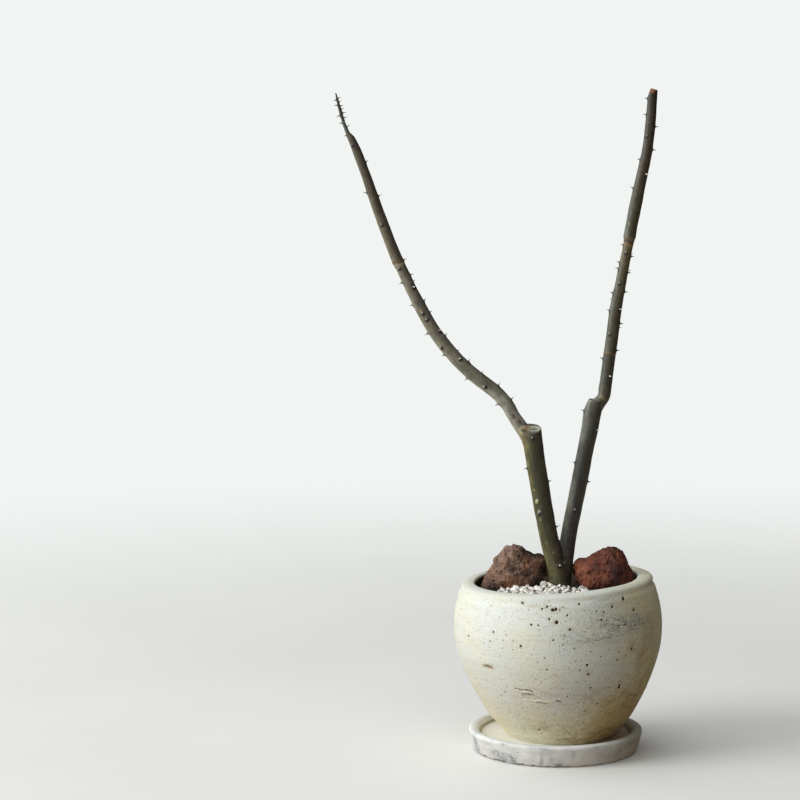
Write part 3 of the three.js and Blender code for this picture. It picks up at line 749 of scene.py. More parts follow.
def material_pot():
    n = Paint("pot_ceramic")
    brushed = n.noise(1, 4, 0.6, (0.045, 0.55))
    strokes = n.noise(1, 3, 0.65, (0.12, 1.6))
    streaked = n.noise(1, 5, 0.7, (0.16, 0.42))
    dashes = n.noise(1, 4, 0.75, (0.55, 1.25))
    drops = n.noise(1, 4, 0.75, (1.1, 0.22))
    grit = n.noise(0.55, 3, 0.6)
    cloud = n.noise(7, 5, 0.62)
    mottle = n.noise(2.2, 4, 0.65)
    n.colour = n.mix((n.noise(26, 3, 0.5), 0.35, 0.65), (800, 820, 715), (770, 810, 785))
    n.over((660, 660, 490), (brushed, 0.48, 0.72, 0, 0.34))
    n.over((840, 870, 840), (brushed, 0.46, 0.3, 0, 0.32))
    n.over((500, 490, 360), (strokes, 0.54, 0.78, 0, 0.20))
    # Painted shade on the right side, with the clay's earth colour low down
    earth_and_shade = n.product("earth_and_shade", (mottle, 0.25, 0.75, 0.72, 1.0))
    n.over((940, 800, 470), (earth_and_shade, 0, 1.25), blend="MULTIPLY")
    # Painted shade, darker and browner low on the right
    n.over((840, 710, 600), "low_right_shade", blend="MULTIPLY")
    n.over((460, 340, 150), (n.product("ochre", (cloud, 0.28, 0.72)), 0, 1, 0, 0.62))
    n.over((360, 240, 90), "ochre", (mottle, 0.54, 0.68, 0, 0.45))
    n.over((360, 400, 260), (n.product("green", (cloud, 0.42, 0.66)), 0, 1, 0, 0.55))
    n.over((360, 380, 390), (n.product("smudge", (streaked, 0.40, 0.60)), 0, 1, 0, 0.58))
    n.over((130, 135, 140), "smudge", (dashes, 0.52, 0.62, 0, 0.85))
    n.over((300, 300, 240), "rain", (drops, 0.54, 0.64, 0, 0.55))
    # Dirt, and painted shade round the foot on the right
    n.over((170, 120, 65), "dirt_and_shade", (streaked, 0.42, 0.62, 0, 0.75))
    # Dark and ochre grains all over, thicker low down and on the right
    crowd = n.spread(n.sum("low", 0.55, n.noise(16, 3, 0.6), 1), 0.35, 0.95)
    crowd = n.math("ADD", crowd, n.part("crowded"))
    more = n.math("SUBTRACT", n.product(crowd, 0.17), 0.015)
    for tone, size, reach, rare, amount in (
        ((200, 130, 60), 3.3, 0.19, 0.62, 0.85), ((160, 110, 60), 2.1, 0.17, 0.56, 0.80),
        ((420, 300, 120), 2.7, 0.24, 0.60, 0.60), ((170, 120, 70), 1.25, 0.24, 0.50, 0.85),
        ((120, 90, 60), 1.6, 0.18, 0.58, 0.80), ((380, 310, 190), 0.9, 0.25, 0.48, 0.60),
    ):
        n.specks(tone, size, (reach, 0.45 * reach), (rare, rare + 0.08, 0, amount), more)
    n.over((300, 260, 170), n.math("MULTIPLY", crowd, 0.6, True), (n.noise(0.8, 3, 0.6), 0.56, 0.68, 0, 0.7))
    n.over((670, 690, 620), ("lip", 0, 1, 0, 0.5))
    n.over((460, 310, 120), "halo", (n.noise(2.0, 3, 0.6), 0.42, 0.68, 0, 0.6))
    n.over((340, 190, 60), "rust", (mottle, 0.34, 0.56, 0.2, 0.95))
    # Painted highlight along the raised ridges
    n.over((860, 800, 560), ("ridge_highlight", 0, 1, 0, 0.8))
    n.over((100, 75, 40), "scratch", (n.noise(1.2, 3, 0.7), 0.36, 0.50, 0, 0.95))
    n.over((50, 32, 14), ("pit", 0.25, 0.75))
    # Painted shade on the inside of the lip and wall
    n.over(n.mix((cloud, 0.4, 0.6), (55, 38, 26), (120, 85, 55)), "inner")
    return n.finish((cloud, 0.3, 0.7, 0.55, 0.78), n.sum(grit, 0.6, strokes, 0.4), 0.12, 0.32)


# Saucer
SAUCER_COLUMNS = 300
# Stains of the saucer, given as those of the pot
SAUCER_STAINS = [
    (-68, 6, 5, 6, 1.0), (-42, 5.5, 7, 2.4, 1.0), (-38, 2, 7, 1.6, 0.9), (-30, 3, 3.5, 4, 1.0),
    (-50, 11, 6, 1.5, 0.4), (-9, 4, 0.9, 5.5, 1.0), (3, 2, 4, 1.2, 0.9), (12, 9, 1.2, 3, 0.6),
    (-36, 12.4, 4, 1.0, 0.7), (-12, 12.8, 6, 0.8, 0.5), (-2, 6, 1.0, 3, 0.5), (48, 8, 3, 4, 0.4),
    (40, 6, 10, 4, 0.35), (-5, 12, 3, 1, 0.5), (28, 12.5, 3, 1, 0.5), (100, 6, 14, 3, 0.8),
    (160, 5, 12, 4, 0.7), (-140, 7, 14, 3, 0.8), (-100, 4, 8, 3, 0.5), (62, 10, 8, 2, 0.5),
]
# Nicks of the foot's edge: (azimuth, half width, height)
SAUCER_NICKS = [
    (-58, 1.6, 0.7), (-44, 3.0, 0.9), (-38, 1.4, 0.8), (-24, 1.8, 0.8), (-15, 1.3, 0.9), (-4, 1.2, 0.7),
    (3, 2.2, 1.0), (9, 1.5, 0.8), (21, 1.2, 0.6), (33, 2.0, 0.7), (52, 1.6, 0.8), (75, 2.6, 0.9),
    (98, 1.8, 0.8), (121, 2.2, 0.9), (140, 1.4, 0.7), (165, 2.4, 1.0), (-170, 1.5, 0.8), (-148, 2.0, 0.9),
    (-126, 1.6, 0.7), (-104, 2.4, 0.9), (-82, 1.5, 0.8),
]


def build_saucer():
    foot, rim, top, level = SAUCER_FOOT_RADIUS, SAUCER_RIM_RADIUS, SAUCER_HEIGHT, SAUCER_FLOOR
    wall = rim - SAUCER_RIM_WIDTH
    under = straight_path([(0, 0), (30, 0), (foot - 1.4, 0)], 9)
    side = smooth_path([
        (foot - 1.3, 0.0), (foot - 0.25, 0.35), (foot + 0.1, 1.3), (foot + 1.2, 4.6), (rim - 0.7, 9.0),
        (rim, top - 1.6), (rim - 0.35, top - 0.6), (rim - 1.3, top - 0.05), (wall + 2.6, top),
        (wall + 1.0, top - 0.25), (wall + 0.1, top - 1.0), (wall - 1.5, level + 1.3),
        (SAUCER_FLOOR_RADIUS + 0.6, level + 0.35), (SAUCER_FLOOR_RADIUS - 1.5, level),
    ], 0.7)
    floor = straight_path([(SAUCER_FLOOR_RADIUS - 2.2, level), (30, level), (0, level)], 2.5)
    saucer = Turned(under + side + floor, SAUCER_COLUMNS, False)
    turn, row, radius, height, out_radius, out_height = saucer.layout()
    at = round_places(turn, radius, height)
    degrees = np.degrees(turn)
    on_side = (row >= len(under)) & (row < len(under) + len(side))
    on_floor = row >= len(under) + len(side)
    outer = on_side & (radius > wall + 1)
    push = (0.22 * fractal(at, 30, 2, 4.0) + 0.09 * fractal(at, 4.5, 3, 2.0)) * on_side
    push += 0.05 * fractal(at * (0.1, 0.1, 1.0), 2.0, 2, 6.0) * outer
    push += 0.03 * fractal(at, 3.0, 2, 9.0) * on_floor * smooth(34, 38, radius)
    chip = np.zeros(len(at))
    ragged = fractal(at, 1.4, 2, 3.0)
    for azimuth, wide, deep in SAUCER_NICKS:
        across = np.radians((degrees - azimuth + 180) % 360 - 180) * foot
        reach = np.hypot(across / wide, height / (0.9 * deep)) * (1 + 0.25 * ragged)
        chip = np.maximum(chip, (1 - smooth(0.6, 1.2, reach)) * outer)
    push -= 0.75 * chip
    basin = smooth(0.70, 0.86, (row - len(under)) / len(side))
    values = {
        "chip": chip,
        "smudge": stains(SAUCER_STAINS, degrees, height) * outer,
        "bottom": bell(height, 1.1) * outer,
        "basin": basin,
        # Painted shade in the corner where the basin's floor meets its wall
        "crook_shade": bell(radius - SAUCER_FLOOR_RADIUS - 2.4, 1.3) * basin,
        "shade": smooth(15, 75, degrees) * (1 - smooth(105, 150, degrees)),
        "wear": bell(height - top, 0.8) * on_side,
    }
    places = round_places(turn, radius + out_radius * push, np.clip(height + out_height * push, 0, top + 0.2))
    mesh = saucer.wrap("saucer_dish", places, values)
    piece_from("saucer_dish", mesh, material_saucer(), ["saucer"])


def material_saucer():
    n = Paint("saucer_ceramic")
    cloud = n.noise(9, 4, 0.6)
    streaked = n.noise(1, 5, 0.68, (0.22, 0.7))
    upright = n.noise(1, 4, 0.65, (0.62, 0.13))
    n.colour = n.mix((cloud, 0.35, 0.65), (920, 920, 890), (960, 960, 950))
    n.over((550, 460, 260), (n.noise(2.4, 4, 0.65), 0.56, 0.72, 0, 0.4))
    # Painted shade in the basin's corner by the wall
    n.over((270, 215, 95), ("crook_shade", 0.15, 0.85, 0, 0.8))
    n.over((800, 700, 580), "shade", blend="MULTIPLY")
    basin = n.colour
    n.colour = n.mix((cloud, 0.36, 0.64), (750, 765, 770), (870, 885, 875))
    n.over((520, 550, 580), (streaked, 0.55, 0.75, 0, 0.45))
    n.over((440, 470, 500), (upright, 0.60, 0.74, 0, 0.40))
    patchy = n.math("MAXIMUM", n.spread(streaked, 0.38, 0.56), n.spread(upright, 0.44, 0.60))
    n.over((200, 240, 280), "smudge", patchy, 0.9)
    n.over(basin, "basin")
    n.over((900, 910, 900), "wear", (streaked, 0.5, 0.7, 0, 0.5))
    n.over((600, 560, 450), ("shade", 0, 1, 0, 0.95), blend="MULTIPLY")
    n.specks((140, 120, 110), 3.2, (0.17, 0.08), (0.60, 0.72, 0, 0.8))
    n.specks((330, 320, 310), 1.5, (0.17, 0.08), (0.58, 0.70, 0, 0.5))
    n.over((150, 105, 80), "bottom", (cloud, 0.35, 0.6, 0.2, 0.8))
    n.over((100, 75, 60), ("chip", 0.3, 0.7, 0, 0.85))
    height = n.sum(n.noise(0.6, 3, 0.6), 0.6, streaked, 0.4)
    return n.finish((cloud, 0.3, 0.7, 0.5, 0.75), height, 0.12, 0.35)


# Soil
SOIL_COLUMNS = 150
SOIL_STEP = 1.6
# Room between the soil and the pot: at its top, at the wall and at the floor
SOIL_TOP_ROOM = 0.6
SOIL_WALL_ROOM = 0.7
SOIL_FLOOR_ROOM = 1.4


def build_soil():
    (upper_radius, upper), (lower_radius, lower) = POT_INSIDE[:2]
    wall_top = np.interp(SOIL_TOP, [lower, upper], [lower_radius, upper_radius]) - SOIL_TOP_ROOM
    top = straight_path([(0, SOIL_TOP), (wall_top, SOIL_TOP)], SOIL_STEP)
    wall = [(r - SOIL_WALL_ROOM, z) for r, z in POT_INSIDE[2:]]
    bottom = POT_FLOOR + SOIL_FLOOR_ROOM
    profile = top[:-1] + [(wall_top, SOIL_TOP - 1.0)] + wall + [(20.0, bottom), (0.0, bottom)]
    soil = Turned(profile, SOIL_COLUMNS, False)
    turn, row, radius, height, _, _ = soil.layout()
    at = round_places(turn, radius, height)
    on_top = (row < len(top) - 0.5) * smooth(wall_top + 0.2, wall_top - 2.0, radius)
    crumbs = fractal(at, 3.2, 3, 2.0) + 0.6 * fractal(at, 1.3, 2, 7.0)
    lift = (0.75 * crumbs - 0.35) * on_top
    x, z = thrown(at[:, 0], height)
    z = np.where(on_top > 0, height + lift, np.minimum(z, SOIL_TOP - 0.5))
    mesh = soil.wrap("soil_bed", np.stack([x, at[:, 1], z], axis=1), {"crumbs": crumbs})
    n = Paint("soil")
    grain = n.noise(1.1, 4, 0.65)
    n.colour = n.mix((grain, 0.3, 0.7), (16, 11, 9), (60, 42, 29))
    n.specks((160, 120, 80), 2.2, (0.34, 0.26), (0.7, 0.78))
    n.over((70, 48, 32), ("crumbs", 0.1, 0.6, 0, 0.4))
    piece_from("soil_bed", mesh, n.finish(0.95, grain, 0.5, 0.25), ["soil"])


# Gravel
TOP_STONES = 205
FILL_STONES = 150
# Stones farther from the viewer than BED_SEEN lie only between BED_LEFT and BED_RIGHT
BED_SEEN = -29.0
BED_LEFT = -36.5
BED_RIGHT = 20.5
# Bare soil beside the trunk: x, y and half widths
BARE_SPOTS = [
    (10.8, 14.0, 4.6, 29.0), (-6.8, 10.0, 4.0, 15.0), (-10.8, -1.5, 2.8, 4.8), (-11.0, -9.5, 2.4, 3.2),
]
# Stones lie on their broad sides
STONE_LIE = (1.0, 1.0, 0.78)
STONE_FACETS = 9
# The gravel's bed: points round each ring, and rings
BED_SIDES = 120
BED_RINGS = 34
GOLDEN = math.pi * (3 - math.sqrt(5))
# Larger stones seen at the front of the pot: (x, y, radius)
FRONT_STONES = [
    (-2.0, -18.6, 2.7), (-7.6, -9.6, 3.3), (-3.9, -9.0, 3.2), (-21.3, -21.6, 2.3), (-14.9, -20.8, 2.0),
    (-26.4, -20.0, 2.5), (15.6, -14.0, 2.5), (11.5, -20.8, 1.9), (4.4, -16.6, 2.2), (-32.3, -21.0, 1.8),
    (2.2, -10.4, 2.2), (-17.8, -11.8, 2.0), (-10.6, -26.2, 1.9), (-5.6, -25.4, 2.1), (0.4, -26.2, 1.8),
    (7.2, -23.6, 1.8), (19.0, -19.4, 1.8), (-12.9, -15.2, 2.2), (-18.6, -26.8, 2.2), (-24.0, -25.6, 1.9),
    (-30.0, -15.4, 1.9), (-21.0, -16.0, 1.9), (13.6, -26.0, 1.9),
]


def turn_matrix(random):
    axis = Vector(random.normal(size=3)).normalized()
    return np.array(Quaternion(axis, random.random() * 2 * math.pi).to_matrix())


def under_rock(rock, x, y, room):
    across = (x - rock["centre"][0]) / (ROCK_HALF_WIDTH + room)
    return across ** 2 + ((y - rock["centre"][1]) / (rock["depth"] + room)) ** 2 < 1


def bed_place(spread, angle):
    """X and Y at a share of the way out from the bed's centre."""
    return (GRAVEL_CENTRE[0] + GRAVEL_RADII[0] * spread * math.cos(angle),
            GRAVEL_CENTRE[1] + GRAVEL_RADII[1] * spread * math.sin(angle))


def mound_height(x, y):
    spread = np.hypot((x - GRAVEL_CENTRE[0]) / GRAVEL_RADII[0], (y - GRAVEL_CENTRE[1]) / GRAVEL_RADII[1])
    return np.interp(spread, [0.3, 0.75, 1.0], [GRAVEL_TOP, GRAVEL_TOP - 1.5, SOIL_TOP + 1])


def room_for(x, y, size):
    """Whether a stone lies on the bed, clear of rocks, trunk and bare soil."""
    if any(under_rock(rock, x, y, 0.6 * size - 1.5) for rock in (LEFT_ROCK, RIGHT_ROCK)):
        return False
    if math.hypot(x - TRUNK_X, y) < TRUNK_RADIUS + 0.8 * size:
        return False
    if y > BED_SEEN and not BED_LEFT < x < BED_RIGHT:
        return False
    if any(math.hypot((x - a) / wide, (y - b) / deep) < 1 for a, b, wide, deep in BARE_SPOTS):
        return False
    return math.hypot(x, y) < GRAVEL_REACH + 1.5


def gravel_bed():
    """Grit under and between the stones, and how bare each of its points is."""
    mound = [(*GRAVEL_CENTRE, 0.0)] + [
        (*bed_place(k / BED_RINGS, 2 * math.pi * i / BED_SIDES), 0.0)
        for k in range(1, BED_RINGS + 1) for i in range(BED_SIDES)]
    bed = np.array(mound)
    away = np.hypot(bed[:, 0], bed[:, 1])
    bed[:, :2] *= np.minimum(1, (GRAVEL_REACH + 2.5) / np.maximum(away, 1))[:, None]
    bed[:, 2] = mound_height(bed[:, 0], bed[:, 1]) - 0.45 + 0.55 * fractal(bed, 1.8, 3, 4.0)
    for rock in (LEFT_ROCK, RIGHT_ROCK):
        bed[under_rock(rock, bed[:, 0], bed[:, 1], -0.5), 2] = SOIL_TOP + 0.4
    bed[np.hypot(bed[:, 0] - TRUNK_X, bed[:, 1]) < TRUNK_RADIUS + 0.4, 2] -= 1.2
    bareness = smooth(-1.0, 2.5, np.maximum(bed[:, 0] - BED_RIGHT, BED_LEFT - bed[:, 0]))
    for a, b, wide, deep in BARE_SPOTS:
        bare = 1 - smooth(0.8, 1.3, np.hypot((bed[:, 0] - a) / wide, (bed[:, 1] - b) / deep))
        bareness = np.maximum(bareness, bare)
        bed[:, 2] -= 1.4 * bare
    bed[-BED_SIDES:, 2] = SOIL_TOP
    return bed, bareness


def build_gravel():
    random = np.random.default_rng(21)
    pebble = ball("pebble", 2)
    round_stone = read(pebble, "co")
    points, polygons, shade, foot_shade_and_soil = [], [], [], []

    def add_stone(x, y, lift, size):
        shape = round_stone * (1.15, 0.75 + 0.35 * random.random(), 0.62 + 0.35 * random.random())
        for _ in range(STONE_FACETS):
            way = random.normal(size=3)
            way /= np.linalg.norm(way)
            limit = 0.34 + 0.34 * random.random()
            shape = shape - np.maximum(0, shape @ way - limit)[:, None] * way
        z = float(mound_height(x, y)) + lift * size
        shape = size * shape @ turn_matrix(random).T * STONE_LIE + (x, y, z)
        start = sum(len(p) for p in points)
        points.append(shape)
        polygons.extend([[start + k for k in face.vertices] for face in pebble.polygons])
        shade.extend([random.random()] * len(shape))
        # Each stone is painted darker towards its foot, as painted shade
        foot_shade_and_soil.extend(smooth(0.1, -0.8, (shape[:, 2] - z) / size))

    bed, bareness = gravel_bed()
    points.append(bed)
    polygons.extend([(0, 1 + i, 1 + (i + 1) % BED_SIDES) for i in range(BED_SIDES)])
    for low in range(1, 1 + (BED_RINGS - 1) * BED_SIDES, BED_SIDES):
        polygons.extend([(a, d, c, b) for a, b, c, d in band(low, low + BED_SIDES, BED_SIDES)])
    shade.extend([0.3] * len(bed))
    foot_shade_and_soil.extend(1.5 + bareness)
    for x, y, size in FRONT_STONES:
        add_stone(x, y, 0.30, size)
    for i in range(TOP_STONES):
        x, y = bed_place(0.97 * math.sqrt((i + 0.5) / TOP_STONES), i * GOLDEN)
        x += 1.6 * (random.random() - 0.5)
        y += 1.6 * (random.random() - 0.5)
        size = 2.15 + 1.4 * random.random() ** 1.3
        lift = 0.05 + 0.25 * random.random()
        if any(math.hypot(x - a, y - b) < 0.75 * (size + c) for a, b, c in FRONT_STONES):
            size *= 0.6
        if room_for(x, y, size):
            add_stone(x, y, lift, size)
    for _ in range(FILL_STONES):
        angle = 2 * math.pi * random.random()
        x, y = bed_place(0.99 * math.sqrt(random.random()), angle)
        size = 0.6 + 0.5 * random.random()
        if room_for(x, y, size):
            add_stone(x, y, 0.4, size)
    bpy.data.meshes.remove(pebble)
    mesh = mesh_from("gravel_grains", np.concatenate(points), polygons)
    store(mesh, "shade", shade)
    store(mesh, "foot_shade_and_soil", foot_shade_and_soil)
    piece_from("gravel_grains", mesh, material_gravel(), ["gravel"], flat=True)


def material_gravel():
    n = Paint("gravel")
    grain = n.noise(0.7, 4, 0.65)
    n.colour = n.mix("shade", (880, 840, 770), (960, 945, 915))
    n.over((620, 540, 450), (n.noise(2.4, 3, 0.6), 0.56, 0.72, 0, 0.4))
    n.over((360, 320, 290), (grain, 0.62, 0.74, 0, 0.45))
    # Painted shade: each stone darker towards its foot
    n.over((300, 235, 170), ("foot_shade_and_soil", 0, 1, 0, 0.45))
    # Values above 1 mark the grit of the bed, and above 1.7 the bare soil
    n.over(n.mix((grain, 0.35, 0.62), (75, 55, 40), (340, 300, 250)), ("foot_shade_and_soil", 1.1, 1.4, 0, 0.95))
    n.over(n.mix((grain, 0.40, 0.62), (18, 14, 12), (90, 74, 58)), ("foot_shade_and_soil", 1.7, 2.2, 0, 0.9))
    return n.finish(0.9, grain, 0.25, 0.3)


# Lava rocks
ROCK_FINENESS = 7
ROCK_HALF_WIDTH = 18.0
# The way that the rocks' upper edges face, which are painted dark as painted shade
ROCK_SHADED_BROW = (0.35, 0.0, 0.937)


def outline_reach(outline, angle):
    polar = sorted((math.atan2(z, x), math.hypot(x, z)) for x, z in outline)
    angles = [a for a, _ in polar]
    reaches = [r for _, r in polar]
    angles = [angles[-1] - 2 * math.pi, *angles, angles[0] + 2 * math.pi]
    reaches = [reaches[-1], *reaches, reaches[0]]
    return np.interp(angle, angles, reaches)


def spot(places, x, z, size):
    """Round shares about a place of the rock's front."""
    return bell(np.hypot(places[:, 0] - x, places[:, 2] - z), size)


def build_rock(name, rock, node, slot, tones):
    mesh = ball(name, ROCK_FINENESS)
    way = read(mesh, "co")
    x, y, z = way.T
    seed, centre = rock["seed"], np.array(rock["centre"])
    lumps = np.sin(5.3 * x + seed) * np.sin(4.7 * y + 2 * seed) * np.sin(5.9 * z - seed)
    coarse = np.sin(13 * x + 3 * seed) * np.sin(12 * y - seed) + np.sin(14 * z + 9 * y)
    swell = 0.965 + 0.06 * lumps + 0.02 * coarse
    reach = outline_reach(rock["outline"], np.arctan2(z, x)) * swell
    shape = np.stack([x * reach, y * rock["depth"] * swell, z * reach], axis=1)
    # Knobs, craters and pores
    knob_part, crevice_part, crater_part, fine_part = tones["relief"]
    knobs = fractal(shape, 6.5, 3, seed)
    gate = fractal(shape, 5.0, 2, 3 * seed)
    crater = (1 - smooth(0.12, 0.46, cells(shape, 4.6, seed))) * smooth(0.0, 0.35, gate)
    pore = (1 - smooth(0.10, 0.44, cells(shape, 1.9, 2 * seed))) * smooth(-0.3, 0.2, -gate)
    fine = fractal(shape, 1.5, 3, 4 * seed)
    crevice = np.abs(fractal(shape, 4.6, 3, 5 * seed))
    push = -0.12 + knob_part * knobs + crevice_part * crevice - crater_part * crater
    push += fine_part * fine - 0.25 * pore
    for a, b, size, deep in tones["dents"]:
        push -= deep * spot(shape + centre, a, b, size)
    shape = shape + way * push[:, None] + centre
    shape[:, 2] = np.maximum(shape[:, 2], SOIL_TOP)
    set_points(mesh, shape)
    # Painted shade in craters, pores and crevices, and painted highlight on the raised crests
    hollow_shade = 0.7 * crater + 0.4 * pore - 0.25 * knobs + 0.45 * smooth(0.10, 0.0, crevice) - 0.3 * fine
    store(mesh, "hollow_shade", np.clip(hollow_shade, 0, 1))
    store(mesh, "crest_highlight", smooth(0.20, 0.60, crevice + 0.25 * knobs + 0.3 * fine))
    # Painted shade on upper edges that face up and to the right, away from the window
    upper = smooth(7, 11, shape[:, 2] - centre[2])
    store(mesh, "brow_shade", upper * smooth(0.80, 0.96, read(mesh, "normal") @ ROCK_SHADED_BROW))
    patches_and_shade = tones["patches_and_shade"]
    shares = np.stack([amount * spot(shape, a, b, size) for a, b, size, amount, _ in patches_and_shade], axis=1)
    total = shares.sum(axis=1)
    tint = shares @ np.array([colour for *_, colour in patches_and_shade]) / 1000
    store(mesh, "rock_tint_and_shade", tint / np.maximum(total, 1e-6)[:, None], "color")
    store(mesh, "rock_tint_and_shade_share", np.clip(total, 0, 1))
    piece_from(name, mesh, material_rock(slot, tones), [node])


def material_rock(name, tones):
    n = Paint(name)
    spots = n.noise(1.6, 4, 0.7)
    broken = n.noise(2.4, 5, 0.7)
    n.colour = n.mix((n.noise(7, 5, 0.62), 0.44, 0.62, 0, 0.85), tones["body"], tones["rust"])
    n.over(tones["pale"], (broken, 0.48, 0.60, 0, 0.8))
    # Painted highlight on the raised crests
    n.over(tones["pale"], ("crest_highlight", 0, 1, 0, 0.3))
    n.over(n.stored("rock_tint_and_shade", "Color"), "rock_tint_and_shade_share", (broken, 0.30, 0.55, 0.55, 1.0))
    n.over(tones["dark"], (spots, 0.53, 0.63, 0, tones["speckle"]))
    n.over(tones["bright"], (n.noise(1.1, 4, 0.7), 0.57, 0.70, 0, 0.5))
    # Painted shade in craters, pores and crevices
    n.over(tones["dark"], ("hollow_shade", 0.15, 0.8, 0, 0.7))
    # Painted shade on the upper edges
    n.over(tones["dark"], ("brow_shade", 0, 1, 0, tones["top"]))
    return n.finish(0.95, n.sum(n.noise(0.6, 3, 0.7), 1, spots, 1), 0.20, 0.25)


# Tones of each rock, how deep its knobs, crevices, craters and fine relief are, its patches as
# (x, z, size, amount, colour), and the dents of its outline as (x, z, size, depth). The darkest
# patches, and the dark tone laid on the upper edges as strongly as top, are painted shade
# Dark tone of the patches that are painted shade
GREY_DARK = (30, 20, 20)
GREY_TONES = {
    "body": (178, 101, 70), "rust": (245, 112, 60), "pale": (330, 224, 168),
    "dark": (26, 15, 15), "bright": (460, 310, 240), "top": 0.75, "speckle": 0.75,
    "relief": (0.75, 1.0, 0.70, 0.34),
    "patches_and_shade": [
        (-18.4, 119.4, 2.6, 0.8, (260, 90, 50)), (-13.2, 118.2, 1.6, 0.6, (280, 100, 55)),
        (-17.8, 126, 3.2, 0.9, GREY_DARK), (-14, 124.5, 2.5, 0.8, GREY_DARK),
        (-20.5, 128, 2.2, 0.8, GREY_DARK), (-11, 123, 2.0, 0.7, GREY_DARK),
        (-24.6, 123.7, 1.8, 0.7, GREY_DARK), (-27.9, 116.8, 2.2, 0.85, GREY_DARK),
        # The near-black patches by the trunk and the dark purple one at the left foot are painted shade
        (-17, 113.9, 2.8, 0.75, (55, 40, 38)), (-8.3, 114.7, 3.8, 1.0, (12, 10, 10)),
        (-12, 107.9, 3.5, 1.0, (14, 11, 10)), (-41.2, 105.7, 4.0, 0.9, (45, 30, 35)),
        (-21.5, 109, 2.4, 0.35, GREY_DARK), (-33.4, 123.4, 4.5, 0.5, (310, 212, 165)),
        (-36, 115, 5.0, 0.5, (310, 210, 160)), (-28, 127, 3.5, 0.4, (300, 210, 175)),
        (-30, 110, 3.0, 0.5, (280, 140, 90)), (-27.5, 106.5, 4.2, 1.0, (400, 185, 100)),
        (-29, 119.5, 2.6, 0.6, (60, 36, 32)), (-38.5, 119.5, 1.8, 0.6, (75, 50, 45)),
        (-33, 112.5, 1.6, 0.55, (70, 45, 40)), (-18, 107.5, 3.2, 0.8, (270, 140, 95)),
    ],
    "dents": [
        (-35, 128, 4, 0.9), (-43, 116, 4, 0.8), (-38, 124, 3, 0.7), (-8.5, 121, 4.5, -1.2),
        (-31, 130, 3, 0.8), (-27, 131, 3, 0.6), (-15, 126, 5, 0.6),
    ],
}
# Dark tone of the patches that are painted shade
RED_DARK = (45, 26, 28)
RED_TONES = {
    "body": (140, 38, 22), "rust": (205, 60, 30), "pale": (195, 74, 45),
    "dark": (18, 10, 10), "bright": (320, 130, 80), "top": 0.85, "speckle": 0.65,
    "relief": (0.45, 0.70, 0.30, 0.26),
    "patches_and_shade": [
        (16.7, 116.2, 5.0, 0.8, (310, 115, 68)), (19.8, 111.0, 4.6, 0.6, (280, 100, 60)),
        (18.8, 121.0, 2.4, 0.5, (200, 72, 50)), (23.8, 118.8, 2.4, 0.8, RED_DARK),
        # The dark purple patches on the rock's right side, away from the window, are painted shade
        (27.2, 115.3, 2.0, 0.7, RED_DARK), (34.7, 119.5, 3.6, 0.55, (70, 45, 45)),
        (37.9, 114.0, 4.2, 0.75, (55, 36, 45)), (42, 118, 3.5, 0.5, (80, 35, 35)),
        (38, 107, 4.0, 0.6, (60, 34, 42)), (28.5, 113.4, 2.0, 0.8, (320, 110, 50)),
        (33.5, 127.0, 3.5, 0.5, (150, 62, 45)), (30, 109.8, 1.8, 0.6, (300, 120, 70)),
        (29.5, 121.5, 1.6, 0.45, (210, 90, 62)), (26, 123.5, 3.0, 0.45, (130, 48, 34)),
        (31, 106.5, 2.4, 0.5, RED_DARK), (23, 104, 3.0, 0.5, RED_DARK),
    ],
    "dents": [
        (25, 129, 5, 1.5), (33, 131, 4, -0.3), (40, 130, 4, 1.2), (18, 124, 4, 0.6),
        (10.5, 113.5, 4.5, -1.6), (14, 103.5, 3.5, 1.0),
    ],
}


# Plant

# Points round each limb, steps between two of its stations, and the grain of the skin's mesh
RING_SIDES = 28
LIMB_STEPS = 14
SKIN_VOXEL = 0.52
# The trunk is this much thinner at its collar than at its foot
TRUNK_TAPER = 0.6
# Points that are compared with a limb at one time
BLOCK = 20000
THORN_SIDES = 8
THORN_THICKNESS = 0.70
# On twigs of a smaller radius than this, the thorns are longer and thicker by these factors
TWIG_RADIUS = 1.35
TWIG_LONGER = 1.55
TWIG_THICKER = 1.15
# Share of the thorn's length, and its thickness there
THORN_OUTLINE = [(0.0, 1.1), (0.22, 1.05), (0.36, 0.82), (0.56, 0.50), (0.80, 0.26), (0.97, 0.09)]
# Dark areole under each thorn, also standing for its painted shadow
THORN_AREOLE_AND_SHADOW = (18, 14, 12)


